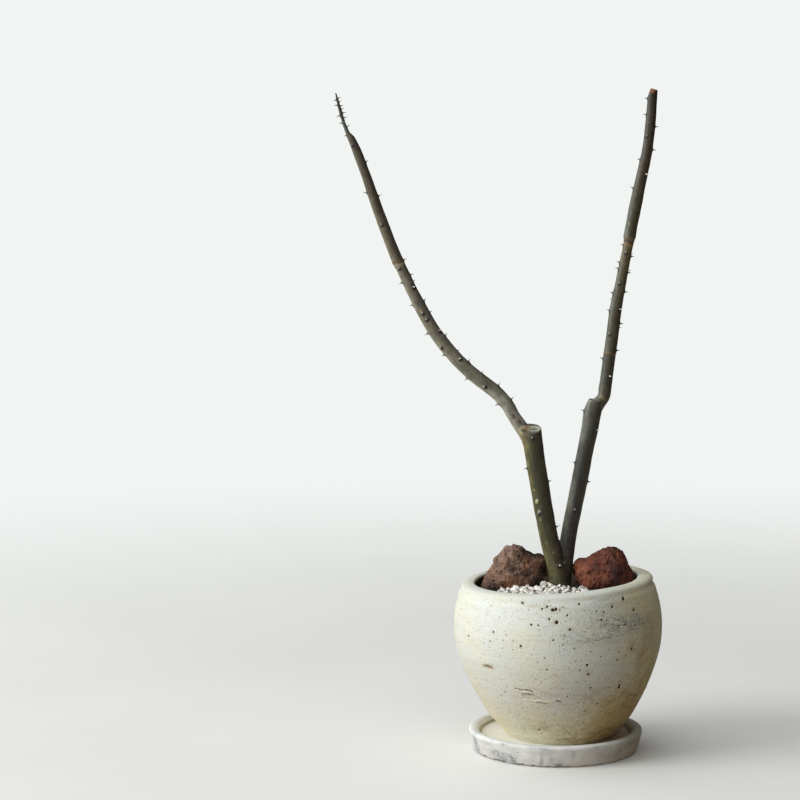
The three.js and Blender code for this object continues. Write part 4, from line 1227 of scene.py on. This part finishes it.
class Limb:
    """The centre line of a limb, with its radius and its directions across."""

    def __init__(self, shape):
        stations = np.array(shape["stations"], dtype=float)
        line = stations[:, :3]
        ends = [2 * line[0] - line[1], *line, 2 * line[-1] - line[-2]]
        self.name = shape["name"]
        self.thorns = shape["thorns"]
        self.cuts = CUTS.get(self.name, [])
        places, radii = [], []
        for i in range(len(line) - 1):
            for k in range(LIMB_STEPS + (i == len(line) - 2)):
                share = k / LIMB_STEPS
                places.append(spline(*ends[i:i + 4], share))
                radii.append(stations[i, 3] + (stations[i + 1, 3] - stations[i, 3]) * share)
        self.centre = np.array(places)
        self.radius = np.array(radii)
        self.tangent = np.gradient(self.centre, axis=0)
        self.tangent /= np.linalg.norm(self.tangent, axis=1, keepdims=True)
        self.right = np.cross((0.0, 1.0, 0.0), self.tangent)
        self.right /= np.linalg.norm(self.right, axis=1, keepdims=True)
        self.front = np.cross(self.right, self.tangent)
        gaps = np.linalg.norm(np.diff(self.centre, axis=0), axis=1)
        self.length = np.concatenate([[0], np.cumsum(gaps)])

    def at_height(self, height):
        """Centre, radius, tangent, right and front where the centre line reaches a height."""
        index = np.interp(height, self.centre[:, 2], np.arange(len(self.centre)))
        low = min(int(index), len(self.centre) - 2)
        share = index - low
        return [values[low] * (1 - share) + values[low + 1] * share for values in
                (self.centre, self.radius, self.tangent, self.right, self.front)]

    def on_skin(self, height, turn):
        """A place on the skin, its way out, the limb's own way there and its radius."""
        centre, radius, tangent, right, front = self.at_height(height)
        angle = math.radians(turn)
        across = right * math.sin(angle) + front * math.cos(angle)
        return centre + across * radius, across, tangent, radius

    def tube(self):
        """A tube round the whole limb, with flat ends and its cuts."""
        tube = bmesh.new()
        angles = np.arange(RING_SIDES) / RING_SIDES * 2 * math.pi
        for c, r, a, b in zip(self.centre, self.radius, self.right, self.front):
            ring = c + r * (np.sin(angles)[:, None] * a + np.cos(angles)[:, None] * b)
            for p in ring:
                tube.verts.new(Vector(p) * MM)
        verts = list(tube.verts)
        for low in range(0, len(verts) - RING_SIDES, RING_SIDES):
            for face in band(low, low + RING_SIDES, RING_SIDES):
                tube.faces.new([verts[k] for k in face])
        tube.faces.new(verts[:RING_SIDES][::-1])
        tube.faces.new(verts[-RING_SIDES:])
        for cut in self.cuts:
            found = bmesh.ops.bisect_plane(
                tube, geom=[*tube.verts, *tube.edges, *tube.faces], dist=1e-7,
                plane_co=Vector(cut["at"]) * MM, plane_no=Vector(cut["faces"]).normalized(),
                clear_outer=True)
            edges = [e for e in found["geom_cut"] if isinstance(e, bmesh.types.BMEdge)]
            bmesh.ops.contextual_create(tube, geom=edges)
        return tube


def beyond(places, cut):
    """How far places are beyond the plane of a cut."""
    return (places - cut["at"]) @ np.array(Vector(cut["faces"]).normalized())


def park_random(seed):
    """Seeded random numbers from 0 to 1."""
    state = seed
    while True:
        state = (state * 1664525 + 1013904223) % 4294967296
        yield state / 4294967296


def thorn_places(limbs):
    """Each thorn of the plant: limb, height and turn; the far side has one for each of the front."""
    random = park_random(11)
    found = []
    for limb in limbs:
        found += [(limb, height, turn) for height, turn in limb.thorns]
        for before, after in zip(limb.thorns, limb.thorns[1:]):
            found.append((limb, (before[0] + after[0]) / 2, 180 + 110 * (next(random) - 0.5)))
    return found


# Marks on the skin of each limb: (height, turn, half width, half height, push, amount, colour)
MARKS = {
    "left_stem": [
        (159.2, -34, 1.25, 1.6, 0.55, 0.95, (420, 410, 200)),
        (160.2, -28, 0.5, 0.8, -0.1, 0.9, (700, 700, 550)), (157.0, -22, 0.9, 0.8, -0.2, 0.7, (50, 45, 20)),
        (153.0, -26, 1.3, 1.0, 0.75, 0.85, (340, 340, 280)),
        (150.6, -20, 1.2, 0.8, -0.2, 0.95, (20, 16, 12)), (148.0, -30, 1.1, 0.9, 0.1, 0.6, (240, 200, 80)),
        (195.0, -35, 1.6, 2.2, 0.1, 0.6, (200, 200, 70)), (166.5, -40, 1.2, 0.9, 0.1, 0.7, (280, 260, 100)),
        (183.0, -55, 1.4, 2.4, 0.1, 0.5, (220, 210, 70)), (126.5, 10, 1.2, 0.9, 0.1, 0.6, (200, 190, 90)),
        (121.0, 20, 2.4, 1.8, -0.3, 0.75, (60, 34, 24)), (110.8, -35, 1.3, 1.1, 0.15, 0.85, (20, 18, 12)),
        (174.0, -50, 1.2, 2.6, 0.1, 0.6, (200, 160, 60)), (140.0, -60, 1.4, 2.6, 0.1, 0.6, (210, 200, 80)),
        (133.0, -20, 1.4, 1.6, 0.1, 0.5, (170, 150, 60)),
    ],
    "right_stem": [
        (121.5, -20, 4.0, 0.9, -0.40, 0.85, (40, 24, 22)),
        (119.2, -10, 0.8, 0.8, 0.2, 0.9, (550, 540, 480)),
        (186.0, -60, 1.2, 2.2, 0.1, 0.5, (160, 170, 155)),
        (168.0, -50, 1.2, 1.6, 0.1, 0.4, (150, 140, 130)),
        (196.0, -35, 1.6, 1.6, 0.05, 0.4, (130, 120, 85)), (211.0, -20, 2.2, 1.8, 0.05, 0.4, (110, 85, 65)),
        (217.8, -85, 3.0, 3.2, 0.50, 0.0, (150, 150, 120)),
    ],
    "right_shoot": [
        (223.4, -85, 2.2, 2.2, -0.9, 0.0, (150, 150, 120)),
        (223.4, -12, 2.3, 1.3, 0.10, 0.8, (230, 190, 100)),
        (222.6, 20, 1.2, 0.7, 0.05, 0.6, (220, 170, 90)), (225.2, 10, 0.8, 0.7, -0.10, 0.5, (80, 60, 35)),
        (413.6, -10, 3.4, 1.5, 0.0, 0.95, (215, 88, 40)), (414.2, 10, 1.3, 0.8, 0.0, 0.8, (500, 280, 130)),
        (413.2, 35, 0.9, 1.3, 0.0, 0.9, (35, 18, 12)), (331.5, -30, 1.0, 1.2, 0.05, 0.7, (300, 220, 130)),
    ],
    "left_flare": [
        (203.2, -78, 2.4, 2.2, 0.95, 0.0, (300, 260, 150)),
    ],
    "left_shoot": [
        (278.6, -8, 1.0, 0.9, 0.1, 0.9, (400, 270, 110)),
        (233.5, -20, 1.2, 0.9, 0.05, 0.6, (260, 190, 100)),
        (330.0, -35, 1.2, 2.6, 0.05, 0.5, (200, 130, 70)), (212.5, 4, 1.1, 2.4, -0.1, 0.75, (80, 52, 58)),
        (208.0, 22, 1.1, 2.4, -0.1, 0.7, (110, 65, 55)),
    ],
}
# Rings round the shoots where growth stopped and began again: (limb, height, half height, colour)
GROWTH_RINGS = [
    ("right_shoot", 323.0, 1.0, (200, 145, 90)), ("right_shoot", 320.8, 0.7, (60, 40, 25)),
    ("right_shoot", 318.8, 0.9, (240, 150, 70)), ("left_shoot", 308.8, 0.9, (130, 70, 35)),
    ("left_shoot", 306.6, 0.9, (360, 290, 190)), ("left_shoot", 386.6, 1.1, (100, 70, 40)),
    ("right_shoot", 251.0, 0.7, (200, 130, 60)),
]
# Skin colour of each limb, lighter on its left side and darker on its right as painted light and shade, over
# its own hues: (height, colour of its left side, of its front, of its right side)
LIT_AND_SHADED_SKINS = {
    "left_stem": [
        (106, (205, 185, 80), (124, 116, 54), (38, 28, 20)),
        (120, (165, 145, 62), (86, 78, 36), (40, 30, 21)), (135, (94, 82, 26), (46, 42, 16), (64, 49, 35)),
        (152, (72, 66, 20), (35, 33, 13), (68, 55, 38)), (178, (104, 95, 29), (33, 31, 12.5), (88, 75, 50)),
        (198, (180, 160, 52), (42, 40, 18), (54, 46, 33)),
        (205, (260, 230, 120), (110, 105, 70), (36, 30, 24)),
    ],
    "left_flare": [
        (190, (165, 150, 55), (80, 73, 34), (40, 34, 24)),
        (199, (260, 225, 95), (120, 112, 55), (50, 42, 30)),
        (205, (420, 360, 220), (280, 250, 150), (60, 50, 36)),
    ],
    "right_stem": [
        (106, (80, 84, 56), (44, 40, 28), (22, 17, 14)), (130, (190, 190, 165), (28, 26, 21), (55, 43, 32)),
        (152, (310, 305, 240), (21, 20, 17), (62, 48, 31)),
        (168, (255, 262, 222), (17, 16.5, 13.5), (90, 70, 43)),
        (174, (117, 124, 104), (17, 16.5, 13.5), (105, 82, 50)),
        (183, (90, 94, 76), (20, 19, 16), (84, 66, 36)), (203, (185, 200, 170), (50, 49, 41), (38, 29, 17)),
        (222, (225, 235, 195), (86, 84, 65), (38, 31, 21)),
    ],
    "left_shoot": [
        (193, (130, 120, 55), (120, 110, 60), (80, 70, 45)),
        (201, (380, 380, 320), (290, 280, 230), (240, 215, 180)),
        (212, (420, 420, 370), (370, 350, 310), (420, 380, 330)),
        (224, (450, 470, 390), (400, 410, 345), (360, 340, 280)),
        (232, (218, 230, 184), (128, 128, 102), (180, 156, 116)),
        (262, (310, 315, 245), (200, 182, 134), (180, 160, 125)),
        (275, (260, 260, 200), (158, 136, 104), (145, 128, 108)),
        (306, (268, 265, 205), (175, 150, 110), (100, 90, 73)),
        (311, (215, 205, 145), (102, 85, 58), (90, 74, 56)),
        (340, (170, 165, 115), (84, 68, 43), (82, 68, 53)),
        (384, (126, 118, 84), (80, 62, 43), (38, 32, 27)),
        (390, (240, 290, 235), (110, 130, 100), (26, 32, 22)),
        (400, (120, 140, 90), (40, 48, 28), (22, 26, 15)), (407, (50, 60, 30), (34, 40, 20), (24, 28, 15)),
    ],
    "right_shoot": [
        (222, (130, 142, 122), (72, 68, 49), (74, 63, 36)),
        (250, (92, 102, 76), (44, 39, 24), (58, 46, 22)),
        (275, (130, 136, 113), (62, 55, 38), (78, 58, 26)),
        (300, (140, 140, 104), (92, 84, 50), (96, 72, 28)),
        (318, (160, 142, 92), (120, 98, 52), (104, 78, 24)),
        (325, (165, 178, 144), (60, 58, 37), (74, 55, 20)),
        (370, (108, 102, 80), (52, 41, 25), (72, 42, 20)), (410, (82, 84, 67), (38, 32, 23), (44, 29, 14)),
    ],
}
# Healed and stained places on the cut faces: (place, size, amount, colour)
LEFT_FACE_SPOTS = [
    ((-19.7, -2.6, 204.2), 3.4, 0.90, (230, 145, 56)), ((-20.3, -4.4, 203.5), 1.7, 0.90, (100, 52, 26)),
    ((-18.8, -0.4, 205.1), 1.6, 0.75, (240, 145, 56)), ((-22.7, -3.4, 204.0), 1.9, 0.90, (440, 400, 215)),
    ((-23.4, -7.0, 202.5), 1.9, 0.85, (420, 380, 200)), ((-21.4, -0.2, 205.3), 1.5, 0.85, (450, 390, 260)),
]
RIGHT_FACE_SPOTS = [
    ((18.8, 1.5, 221.5), 2.6, 0.90, (400, 380, 310)), ((24.5, -0.5, 221.6), 3.0, 0.95, (75, 70, 55)),
]
# Cut faces: (limbs, cut, middle, stretch along x, tones by distance from the middle, spots)
CUT_FACES = [
    (("left_stem", "left_flare"), LEFT_CUT, (-14.5, -3.0, 204.0), 0.80, [
        (0.0, (100, 98, 62)), (0.8, (130, 130, 90)), (1.3, (300, 320, 250)), (1.9, (180, 190, 135)),
        (2.4, (440, 470, 380)), (3.0, (470, 500, 400)), (3.5, (150, 145, 95)), (4.2, (120, 115, 80)),
        (6.0, (90, 85, 60)),
    ], LEFT_FACE_SPOTS),
    (("right_stem",), RIGHT_CUT, (22.0, 4.0, 221.7), 1.0, [
        (0.0, (160, 150, 120)), (2.0, (170, 160, 130)), (3.6, (220, 210, 170)), (4.6, (200, 190, 155)),
    ], RIGHT_FACE_SPOTS),
    (("right_shoot",), RIGHT_TIP_CUT, (57.6, 5.0, 415.0), 1.0, [
        (0.0, (620, 380, 190)), (1.0, (460, 210, 90)), (2.2, (280, 95, 36)), (3.2, (150, 55, 26)),
    ], []),
]


def lit_and_shaded_skin(name, height, side):
    """Side runs from -1, left, over 0, front, to 1, right. The left side is painted lighter and the right
    side and its edge darker, as painted light and shade.
    """
    levels, *sides = zip(*LIT_AND_SHADED_SKINS[name])
    left, front, right = (between(height, levels, colours) for colours in sides)
    to_left = np.clip(-side, 0, 1)[:, None] ** 1.6
    to_right = np.clip(side, 0, 1)[:, None]
    # Painted shade along the right edge
    edge = smooth(0.80, 1.0, side)[:, None]
    return (front * (1 - to_left - to_right) + left * to_left + right * to_right) * (1 - 0.45 * edge)


def one_skin(limbs):
    """The trunk's base and all limbs under one skin."""
    trunk_height = TRUNK_COLLAR - TRUNK_FOOT
    whole = bmesh.new()
    bmesh.ops.create_cone(
        whole, cap_ends=True, segments=RING_SIDES, radius1=TRUNK_RADIUS * MM,
        radius2=(TRUNK_RADIUS - TRUNK_TAPER) * MM, depth=trunk_height * MM,
        matrix=Matrix.Translation(Vector((TRUNK_X, 0, TRUNK_FOOT + trunk_height / 2)) * MM))
    for limb in limbs:
        part = mesh_of("limb", limb.tube())
        whole.from_mesh(part)
        bpy.data.meshes.remove(part)
    bmesh.ops.recalc_face_normals(whole, faces=whole.faces)
    rough = placed("plant_rough", mesh_of("plant_rough", whole))
    remesh = rough.modifiers.new("skin", "REMESH")
    remesh.mode = "VOXEL"
    remesh.voxel_size = SKIN_VOXEL * MM
    settle = rough.modifiers.new("settle", "SMOOTH")
    settle.factor = 0.5
    settle.iterations = 3
    graph = bpy.context.evaluated_depsgraph_get()
    skin = bpy.data.meshes.new_from_object(rough.evaluated_get(graph))
    bpy.data.objects.remove(rough)
    skin.name = "plant_limbs"
    return skin


class Skin:
    """The plant's skin: its points, the limb that each belongs to, its relief and its colours."""

    def __init__(self, limbs):
        self.limbs = limbs
        self.mesh = one_skin(limbs)
        self.at = read(self.mesh, "co") / MM
        self.out = read(self.mesh, "normal")
        self.owner, sample = self.nearest_limbs()
        count = len(self.at)
        self.turn, self.grain, self.colours = np.zeros(count), np.zeros((count, 3)), np.zeros((count, 3))
        radius, side = np.zeros(count), np.zeros(count)
        for index, limb in enumerate(limbs):
            mine = self.owner == index
            near = sample[mine]
            offset = self.at[mine] - limb.centre[near]
            across, ahead, up = ((offset * ways[near]).sum(axis=1)
                                 for ways in (limb.right, limb.front, limb.tangent))
            angle = np.arctan2(across, ahead)
            self.turn[mine] = np.degrees(angle)
            radius[mine] = limb.radius[near]
            self.grain[mine] = np.stack([across, ahead, limb.length[near] + up + 60.0 * index], axis=1)
            side[mine] = np.sin(angle) * smooth(-1.2, 0.3, np.cos(angle) + 0.2)
            self.colours[mine] = lit_and_shaded_skin(limb.name, self.at[mine, 2], side[mine])
        mottled = fractal(self.grain * (1, 1, 0.35), 3.0, 3, 5.0)
        self.colours *= (1 + 0.32 * mottled)[:, None]
        wrinkles = fractal(self.grain * (1, 1, 0.12), 1.5, 2, 2.0)
        self.push = 0.07 * wrinkles + 0.16 * fractal(self.grain * (0.7, 0.7, 0.5), 5.0, 2, 9.0)
        self.push *= np.clip(radius / 4, 0.3, 1)

    def nearest_limbs(self):
        """The limb that each point belongs to, and the number of its nearest place along it."""
        best = np.full(len(self.at), 1e9)
        owner = np.zeros(len(self.at), dtype=int)
        sample = np.zeros(len(self.at), dtype=int)
        for index, limb in enumerate(self.limbs):
            for start in range(0, len(self.at), BLOCK):
                block = slice(start, start + BLOCK)
                places = self.at[block]
                apart = np.linalg.norm(places[:, None, :] - limb.centre[None, :, :], axis=2)
                nearest = apart.argmin(axis=1)
                margin = apart[np.arange(len(nearest)), nearest] - limb.radius[nearest]
                for cut in limb.cuts:
                    margin += 50.0 * (beyond(places, cut) > 0.6)
                better = margin < best[block]
                for kept, new in ((best, margin), (owner, index), (sample, nearest)):
                    kept[block] = np.where(better, new, kept[block])
        return owner, sample

    def add_marks(self):
        for limb in self.limbs:
            for level, turned, wide, tall, lift, amount, colour in MARKS.get(limb.name, []):
                place, _, tangent, _ = limb.on_skin(level, turned)
                offset = self.at - place
                up = offset @ tangent
                aside = np.sqrt(np.maximum(0, (offset ** 2).sum(axis=1) - up ** 2))
                share = bell(aside, wide) * bell(up, tall)
                self.push += lift * share
                self.colours = blend_in(self.colours, amount * smooth(0.25, 0.7, share), colour)

    def add_growth_rings(self):
        names = [limb.name for limb in self.limbs]
        for name, level, tall, colour in GROWTH_RINGS:
            index = names.index(name)
            centre, size, tangent, _, _ = self.limbs[index].at_height(level)
            near = (self.owner == index) * (np.linalg.norm(self.at - centre, axis=1) < 3 * size)
            up = (self.at - centre) @ tangent + 0.35 * np.sin(np.radians(self.turn * 3))
            share = bell(up, tall) * near
            self.push += 0.14 * share
            self.colours = blend_in(self.colours, 0.85 * share, colour)

    def add_thorn_feet(self):
        """A small cushion under each thorn, with a dark areole below it, which also stands for the thorn's
        painted shadow.
        """
        dark = np.zeros(len(self.at))
        for limb, level, turned in thorn_places(self.limbs):
            place, _, tangent, size = limb.on_skin(level, turned)
            apart = np.linalg.norm(self.at - place, axis=1)
            below = np.linalg.norm(self.at - place + 0.75 * tangent, axis=1)
            share = min(1.0, size / 4)
            self.push += 0.40 * share * bell(apart, 1.15)
            dark = np.maximum(dark, bell(below, 0.55 + 0.95 * share))
        self.colours = blend_in(self.colours, 0.95 * smooth(0.15, 0.7, dark), THORN_AREOLE_AND_SHADOW)

    def add_cut_faces(self):
        """Rings of wood round a darker pith, and the healed places."""
        cut_mask = np.zeros(len(self.at))
        wobble = fractal(self.at, 1.6, 2, 3.0)
        for names, cut, middle, stretch, tones, spots in CUT_FACES:
            mine = np.isin(self.owner, [k for k, limb in enumerate(self.limbs) if limb.name in names])
            normal = np.array(Vector(cut["faces"]).normalized())
            level = beyond(self.at, cut)
            facing = smooth(0.35, 0.8, self.out @ normal)
            on_face = mine * smooth(-0.75, -0.25, level) * (np.abs(level) < 2) * facing
            offset = self.at - middle
            offset -= (offset @ normal)[:, None] * normal
            reach = np.hypot(offset[:, 0] * stretch, offset[:, 1]) + 0.28 * wobble
            tone = between(reach, *zip(*tones))
            rise = 0.28 * bell(reach - 3.0, 0.7) - 0.30 * bell(reach, 1.3)
            for place, size, amount, colour in spots:
                share = bell(np.linalg.norm(self.at - place, axis=1) * (1 + 0.3 * wobble), size)
                tone = blend_in(tone, amount * smooth(0.2, 0.6, share), colour)
                rise = rise - 0.25 * share
            self.colours = blend_in(self.colours, on_face, tone * 1000)
            self.push += on_face * (rise if spots else 0.4 * rise)
            cut_mask = np.maximum(cut_mask, on_face)
        store(self.mesh, "cut", cut_mask)


def build_plant():
    limbs = [Limb(shape) for shape in LIMBS]
    skin = Skin(limbs)
    skin.add_marks()
    skin.add_growth_rings()
    skin.add_thorn_feet()
    skin.add_cut_faces()
    set_points(skin.mesh, skin.at + skin.out * skin.push[:, None])
    store(skin.mesh, "tint", np.clip(skin.colours, 0.005, 1), "color")
    store(skin.mesh, "grain", skin.grain, "vector")
    piece_from("plant_limbs", skin.mesh, material_bark(), ["plant"])
    build_thorns(limbs)


def material_bark():
    n = Paint("plant_bark")
    grain = n.stored("grain", "Vector")
    tint = n.stored("tint", "Color")
    lighter = n.scaled(tint, 1.9)
    darker = n.scaled(tint, 0.42)
    streaks = n.noise(1, 4, 0.65, (0.9, 0.10), grain)
    fine = n.noise(0.8, 4, 0.7, (1.0, 0.5), grain)
    n.colour = tint
    n.over(lighter, (streaks, 0.45, 0.75, 0, 0.50))
    n.over(darker, (n.noise(3.4, 4, 0.6), 0.50, 0.30, 0, 0.55))
    n.over(darker, (n.noise(1.7, 4, 0.65), 0.56, 0.70, 0, 0.5))
    n.over(lighter, (fine, 0.60, 0.74, 0, 0.40))
    n.specks((270, 260, 200), 2.0, (0.20, 0.11), (0.66, 0.76, 0, 0.6))
    n.over(tint, "cut")
    return n.finish((fine, 0.3, 0.7, 0.42, 0.66), n.sum(streaks, 0.7, fine, 0.5), 0.14, 0.45)


def build_thorns(limbs):
    random = np.random.default_rng(3)
    points, polygons, tips, edgewise_shade = [], [], [], []
    angles = [2 * math.pi * k / THORN_SIDES for k in range(THORN_SIDES)]
    for limb, level, turned in thorn_places(limbs):
        place, across, tangent, size = limb.on_skin(level, turned)
        lean = across + tangent * (THORN_LIFT + 0.10 * random.normal())
        lean = lean / np.linalg.norm(lean)
        length = THORN_LENGTH * min(1.0, 0.5 + size / 6) * (0.82 + 0.18 * random.random())
        thick = THORN_THICKNESS * min(1.0, 0.45 + size / 7)
        # Thorns seen edgewise are painted darker than those that face the viewer, as painted shade
        edgewise = 0.8 * smooth(0.55, 0.95, abs(math.sin(math.radians(turned))))
        if size < TWIG_RADIUS:
            length *= TWIG_LONGER
            thick *= TWIG_THICKER
            edgewise = 1.0
        root = place - across * THORN_SINK
        whole = lean * (length + THORN_SINK)
        right = np.cross(lean, (0.13, 0.2, 1.0))
        right = right / np.linalg.norm(right)
        front = np.cross(lean, right)
        bend = (0.25 * random.normal()) * right + (0.25 * random.normal()) * front
        start = len(points)
        for share, thickness in THORN_OUTLINE:
            centre = root + whole * share + bend * share ** 2
            wide = thick * thickness
            points += [centre + wide * (right * math.cos(a) + front * math.sin(a)) for a in angles]
            tips += [share] * THORN_SIDES
        last, top, base = len(points) - THORN_SIDES, len(points), len(points) + 1
        points += [root + whole + bend, root]
        tips += [1.0, 0.0]
        edgewise_shade += [edgewise] * (len(points) - start)
        for low in range(start, last, THORN_SIDES):
            polygons += band(low, low + THORN_SIDES, THORN_SIDES)
        for k in range(THORN_SIDES):
            m = (k + 1) % THORN_SIDES
            polygons += [(last + k, last + m, top), (start + m, start + k, base)]
    mesh = mesh_from("plant_thorns", points, polygons)
    outward = bmesh.new()
    outward.from_mesh(mesh)
    bmesh.ops.recalc_face_normals(outward, faces=outward.faces)
    outward.to_mesh(mesh)
    outward.free()
    store(mesh, "tip", tips)
    store(mesh, "edgewise_shade", edgewise_shade)
    piece_from("plant_thorns", mesh, material_thorns(), ["plant"])


def material_thorns():
    n = Paint("plant_thorn")
    speck = n.noise(0.5, 3, 0.6)
    n.colour = n.mix(("tip", 0.27, 0.36), (35, 26, 20), (400, 380, 330))
    n.over((800, 790, 760), ("tip", 0.34, 0.52))
    # Painted shade on thorns seen edgewise
    n.over(n.mix(("tip", 0.40, 0.85), (50, 46, 36), (300, 310, 280)), "edgewise_shade")
    n.over((340, 300, 260), ("tip", 0.80, 0.95, 0, 0.6))
    n.over((360, 320, 260), (speck, 0.55, 0.78, 0, 0.25))
    return n.finish(0.5, speck, 0.05, 0.45)


# Drain mesh: the solid's own shape, in black plastic
def dress_drain_mesh():
    n = Paint("drain_mesh")
    scuff = n.noise(1.2, 4, 0.65)
    n.colour = n.mix((scuff, 0.45, 0.7), (18, 18, 18), (75, 68, 58))
    material = n.finish((scuff, 0.3, 0.7, 0.4, 0.7), scuff, 0.1, 0.5)
    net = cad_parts["drain_mesh"]
    if not net.material_slots:
        net.data.materials.append(material)
    for place in net.material_slots:
        place.material = material


# Floor, light and camera

# The way to the window, and the colours of the room round the object: the side away from the
# window, the window's side, and the same two below the table's height
WINDOW_WAY = (-0.90, -0.36, 0.24)
ROOM_DARK = (26, 17, 9)
ROOM_BRIGHT = (860, 885, 870)
TABLE_DARK = (75, 50, 24)
TABLE_BRIGHT = (460, 360, 250)
BACKDROP = (880, 905, 885)
# From the side away from the window to its side, and from below to above the table's height
ROOM_SPREAD = (-0.70, 1.0)
TABLE_SPREAD = (-0.70, 0.9)
TABLE_EDGE = (-0.22, -0.02)
# Floor: radius, and where its fading out begins and ends, in metres
FLOOR_RADIUS = 7.0
FLOOR_FADE = (0.30, 1.15)
# Soft lamps: (name, place and aim in metres, side, power, colour)
LAMPS = [
    ("window", (-2.0, -0.8, 0.95), (0, 0, 0.14), 1.3, 34, (1000, 1000, 980)),
    ("ceiling", (-0.3, 0.2, 2.2), (0, 0, 0.1), 1.6, 7, (970, 990, 1000)),
]


def build_floor():
    ground = bmesh.new()
    bmesh.ops.create_circle(ground, cap_ends=True, segments=96, radius=FLOOR_RADIUS)
    mesh = mesh_of("floor", ground)
    floor = placed("floor", mesh)
    n = Paint("floor_paint")
    n.colour = n.mix((n.noise(180, 3, 0.5), 0.3, 0.7), (890, 890, 875), (920, 920, 905))
    mesh.materials.append(n.finish(0.9, n.noise(3, 3, 0.6), 0.05, 0.2))
    # Far away the floor runs out into the pale backdrop
    length = n.add("VectorMath", operation="LENGTH")
    n.link(n.place, length.inputs[0])
    near, far = FLOOR_FADE
    both = n.add("MixShader")
    n.link(n.spread(length.outputs["Value"], near / MM, far / MM), both.inputs[0])
    n.link(n.shader.outputs["BSDF"], both.inputs[1])
    n.link(n.add("BsdfTransparent").outputs["BSDF"], both.inputs[2])
    n.link(both.outputs[0], n.output.inputs["Surface"])
    floor.visible_diffuse = False


def aimed(name, data, place, way):
    """A lamp or camera at a place, looking along a way."""
    holder = placed(name, data)
    holder.location = place
    holder.rotation_mode = "QUATERNION"
    holder.rotation_quaternion = Vector(way).to_track_quat("-Z", "Y")
    return holder


def soft_light(name, place, aim, side, power, colour):
    lamp = bpy.data.lights.new(name, "AREA")
    lamp.shape = "RECTANGLE"
    lamp.size = lamp.size_y = side
    lamp.energy = power
    lamp.color = [c / 1000 for c in colour]
    aimed(name, lamp, place, Vector(aim) - Vector(place))


def build_world():
    world = bpy.data.worlds.new("studio")
    bpy.context.scene.world = world
    sky = Nodes(world)
    way = sky.add("TexCoord").outputs["Generated"]
    toward = sky.add("VectorMath", operation="DOT_PRODUCT")
    sky.link(way, toward.inputs[0])
    toward.inputs[1].default_value = Vector(WINDOW_WAY).normalized()
    split = sky.add("SeparateXYZ")
    sky.link(way, split.inputs[0])
    facing = toward.outputs["Value"]
    room = sky.mix((facing, *ROOM_SPREAD, 0, 1, "LINEAR"), ROOM_DARK, ROOM_BRIGHT)
    table = sky.mix((facing, *TABLE_SPREAD, 0, 1, "LINEAR"), TABLE_DARK, TABLE_BRIGHT)
    around = sky.mix((split.outputs["Z"], *TABLE_EDGE, 0, 1, "LINEAR"), table, room)
    both = sky.add("MixShader")
    sky.link(sky.add("LightPath").outputs["Is Camera Ray"], both.inputs[0])
    for socket, colour in zip(both.inputs[1:], (around, BACKDROP)):
        light = sky.add("Background")
        sky.feed(light.inputs["Color"], colour)
        sky.link(light.outputs[0], socket)
    sky.link(both.outputs[0], sky.add("OutputWorld").inputs["Surface"])


def build_stage():
    build_floor()
    build_world()
    for lamp in LAMPS:
        soft_light(*lamp)
    bpy.context.scene.view_settings.view_transform = "Standard"

    lens = bpy.data.cameras.new("camera")
    lens.sensor_width = CAMERA_WIDTH
    lens.lens = CAMERA_LENS
    lens.clip_start, lens.clip_end = CAMERA_REACH
    level = math.cos(CAMERA_PITCH)
    forward = (math.sin(CAMERA_YAW) * level, math.cos(CAMERA_YAW) * level, -math.sin(CAMERA_PITCH))
    bpy.context.scene.camera = aimed("camera", lens, CAMERA_PLACE, forward)


build_saucer()
build_pot()
build_soil()
build_gravel()
build_rock("lava_left", LEFT_ROCK, "lava_rock_left", "lava_rock_grey", GREY_TONES)
build_rock("lava_right", RIGHT_ROCK, "lava_rock_right", "lava_rock_red", RED_TONES)
build_plant()
dress_drain_mesh()
build_stage()
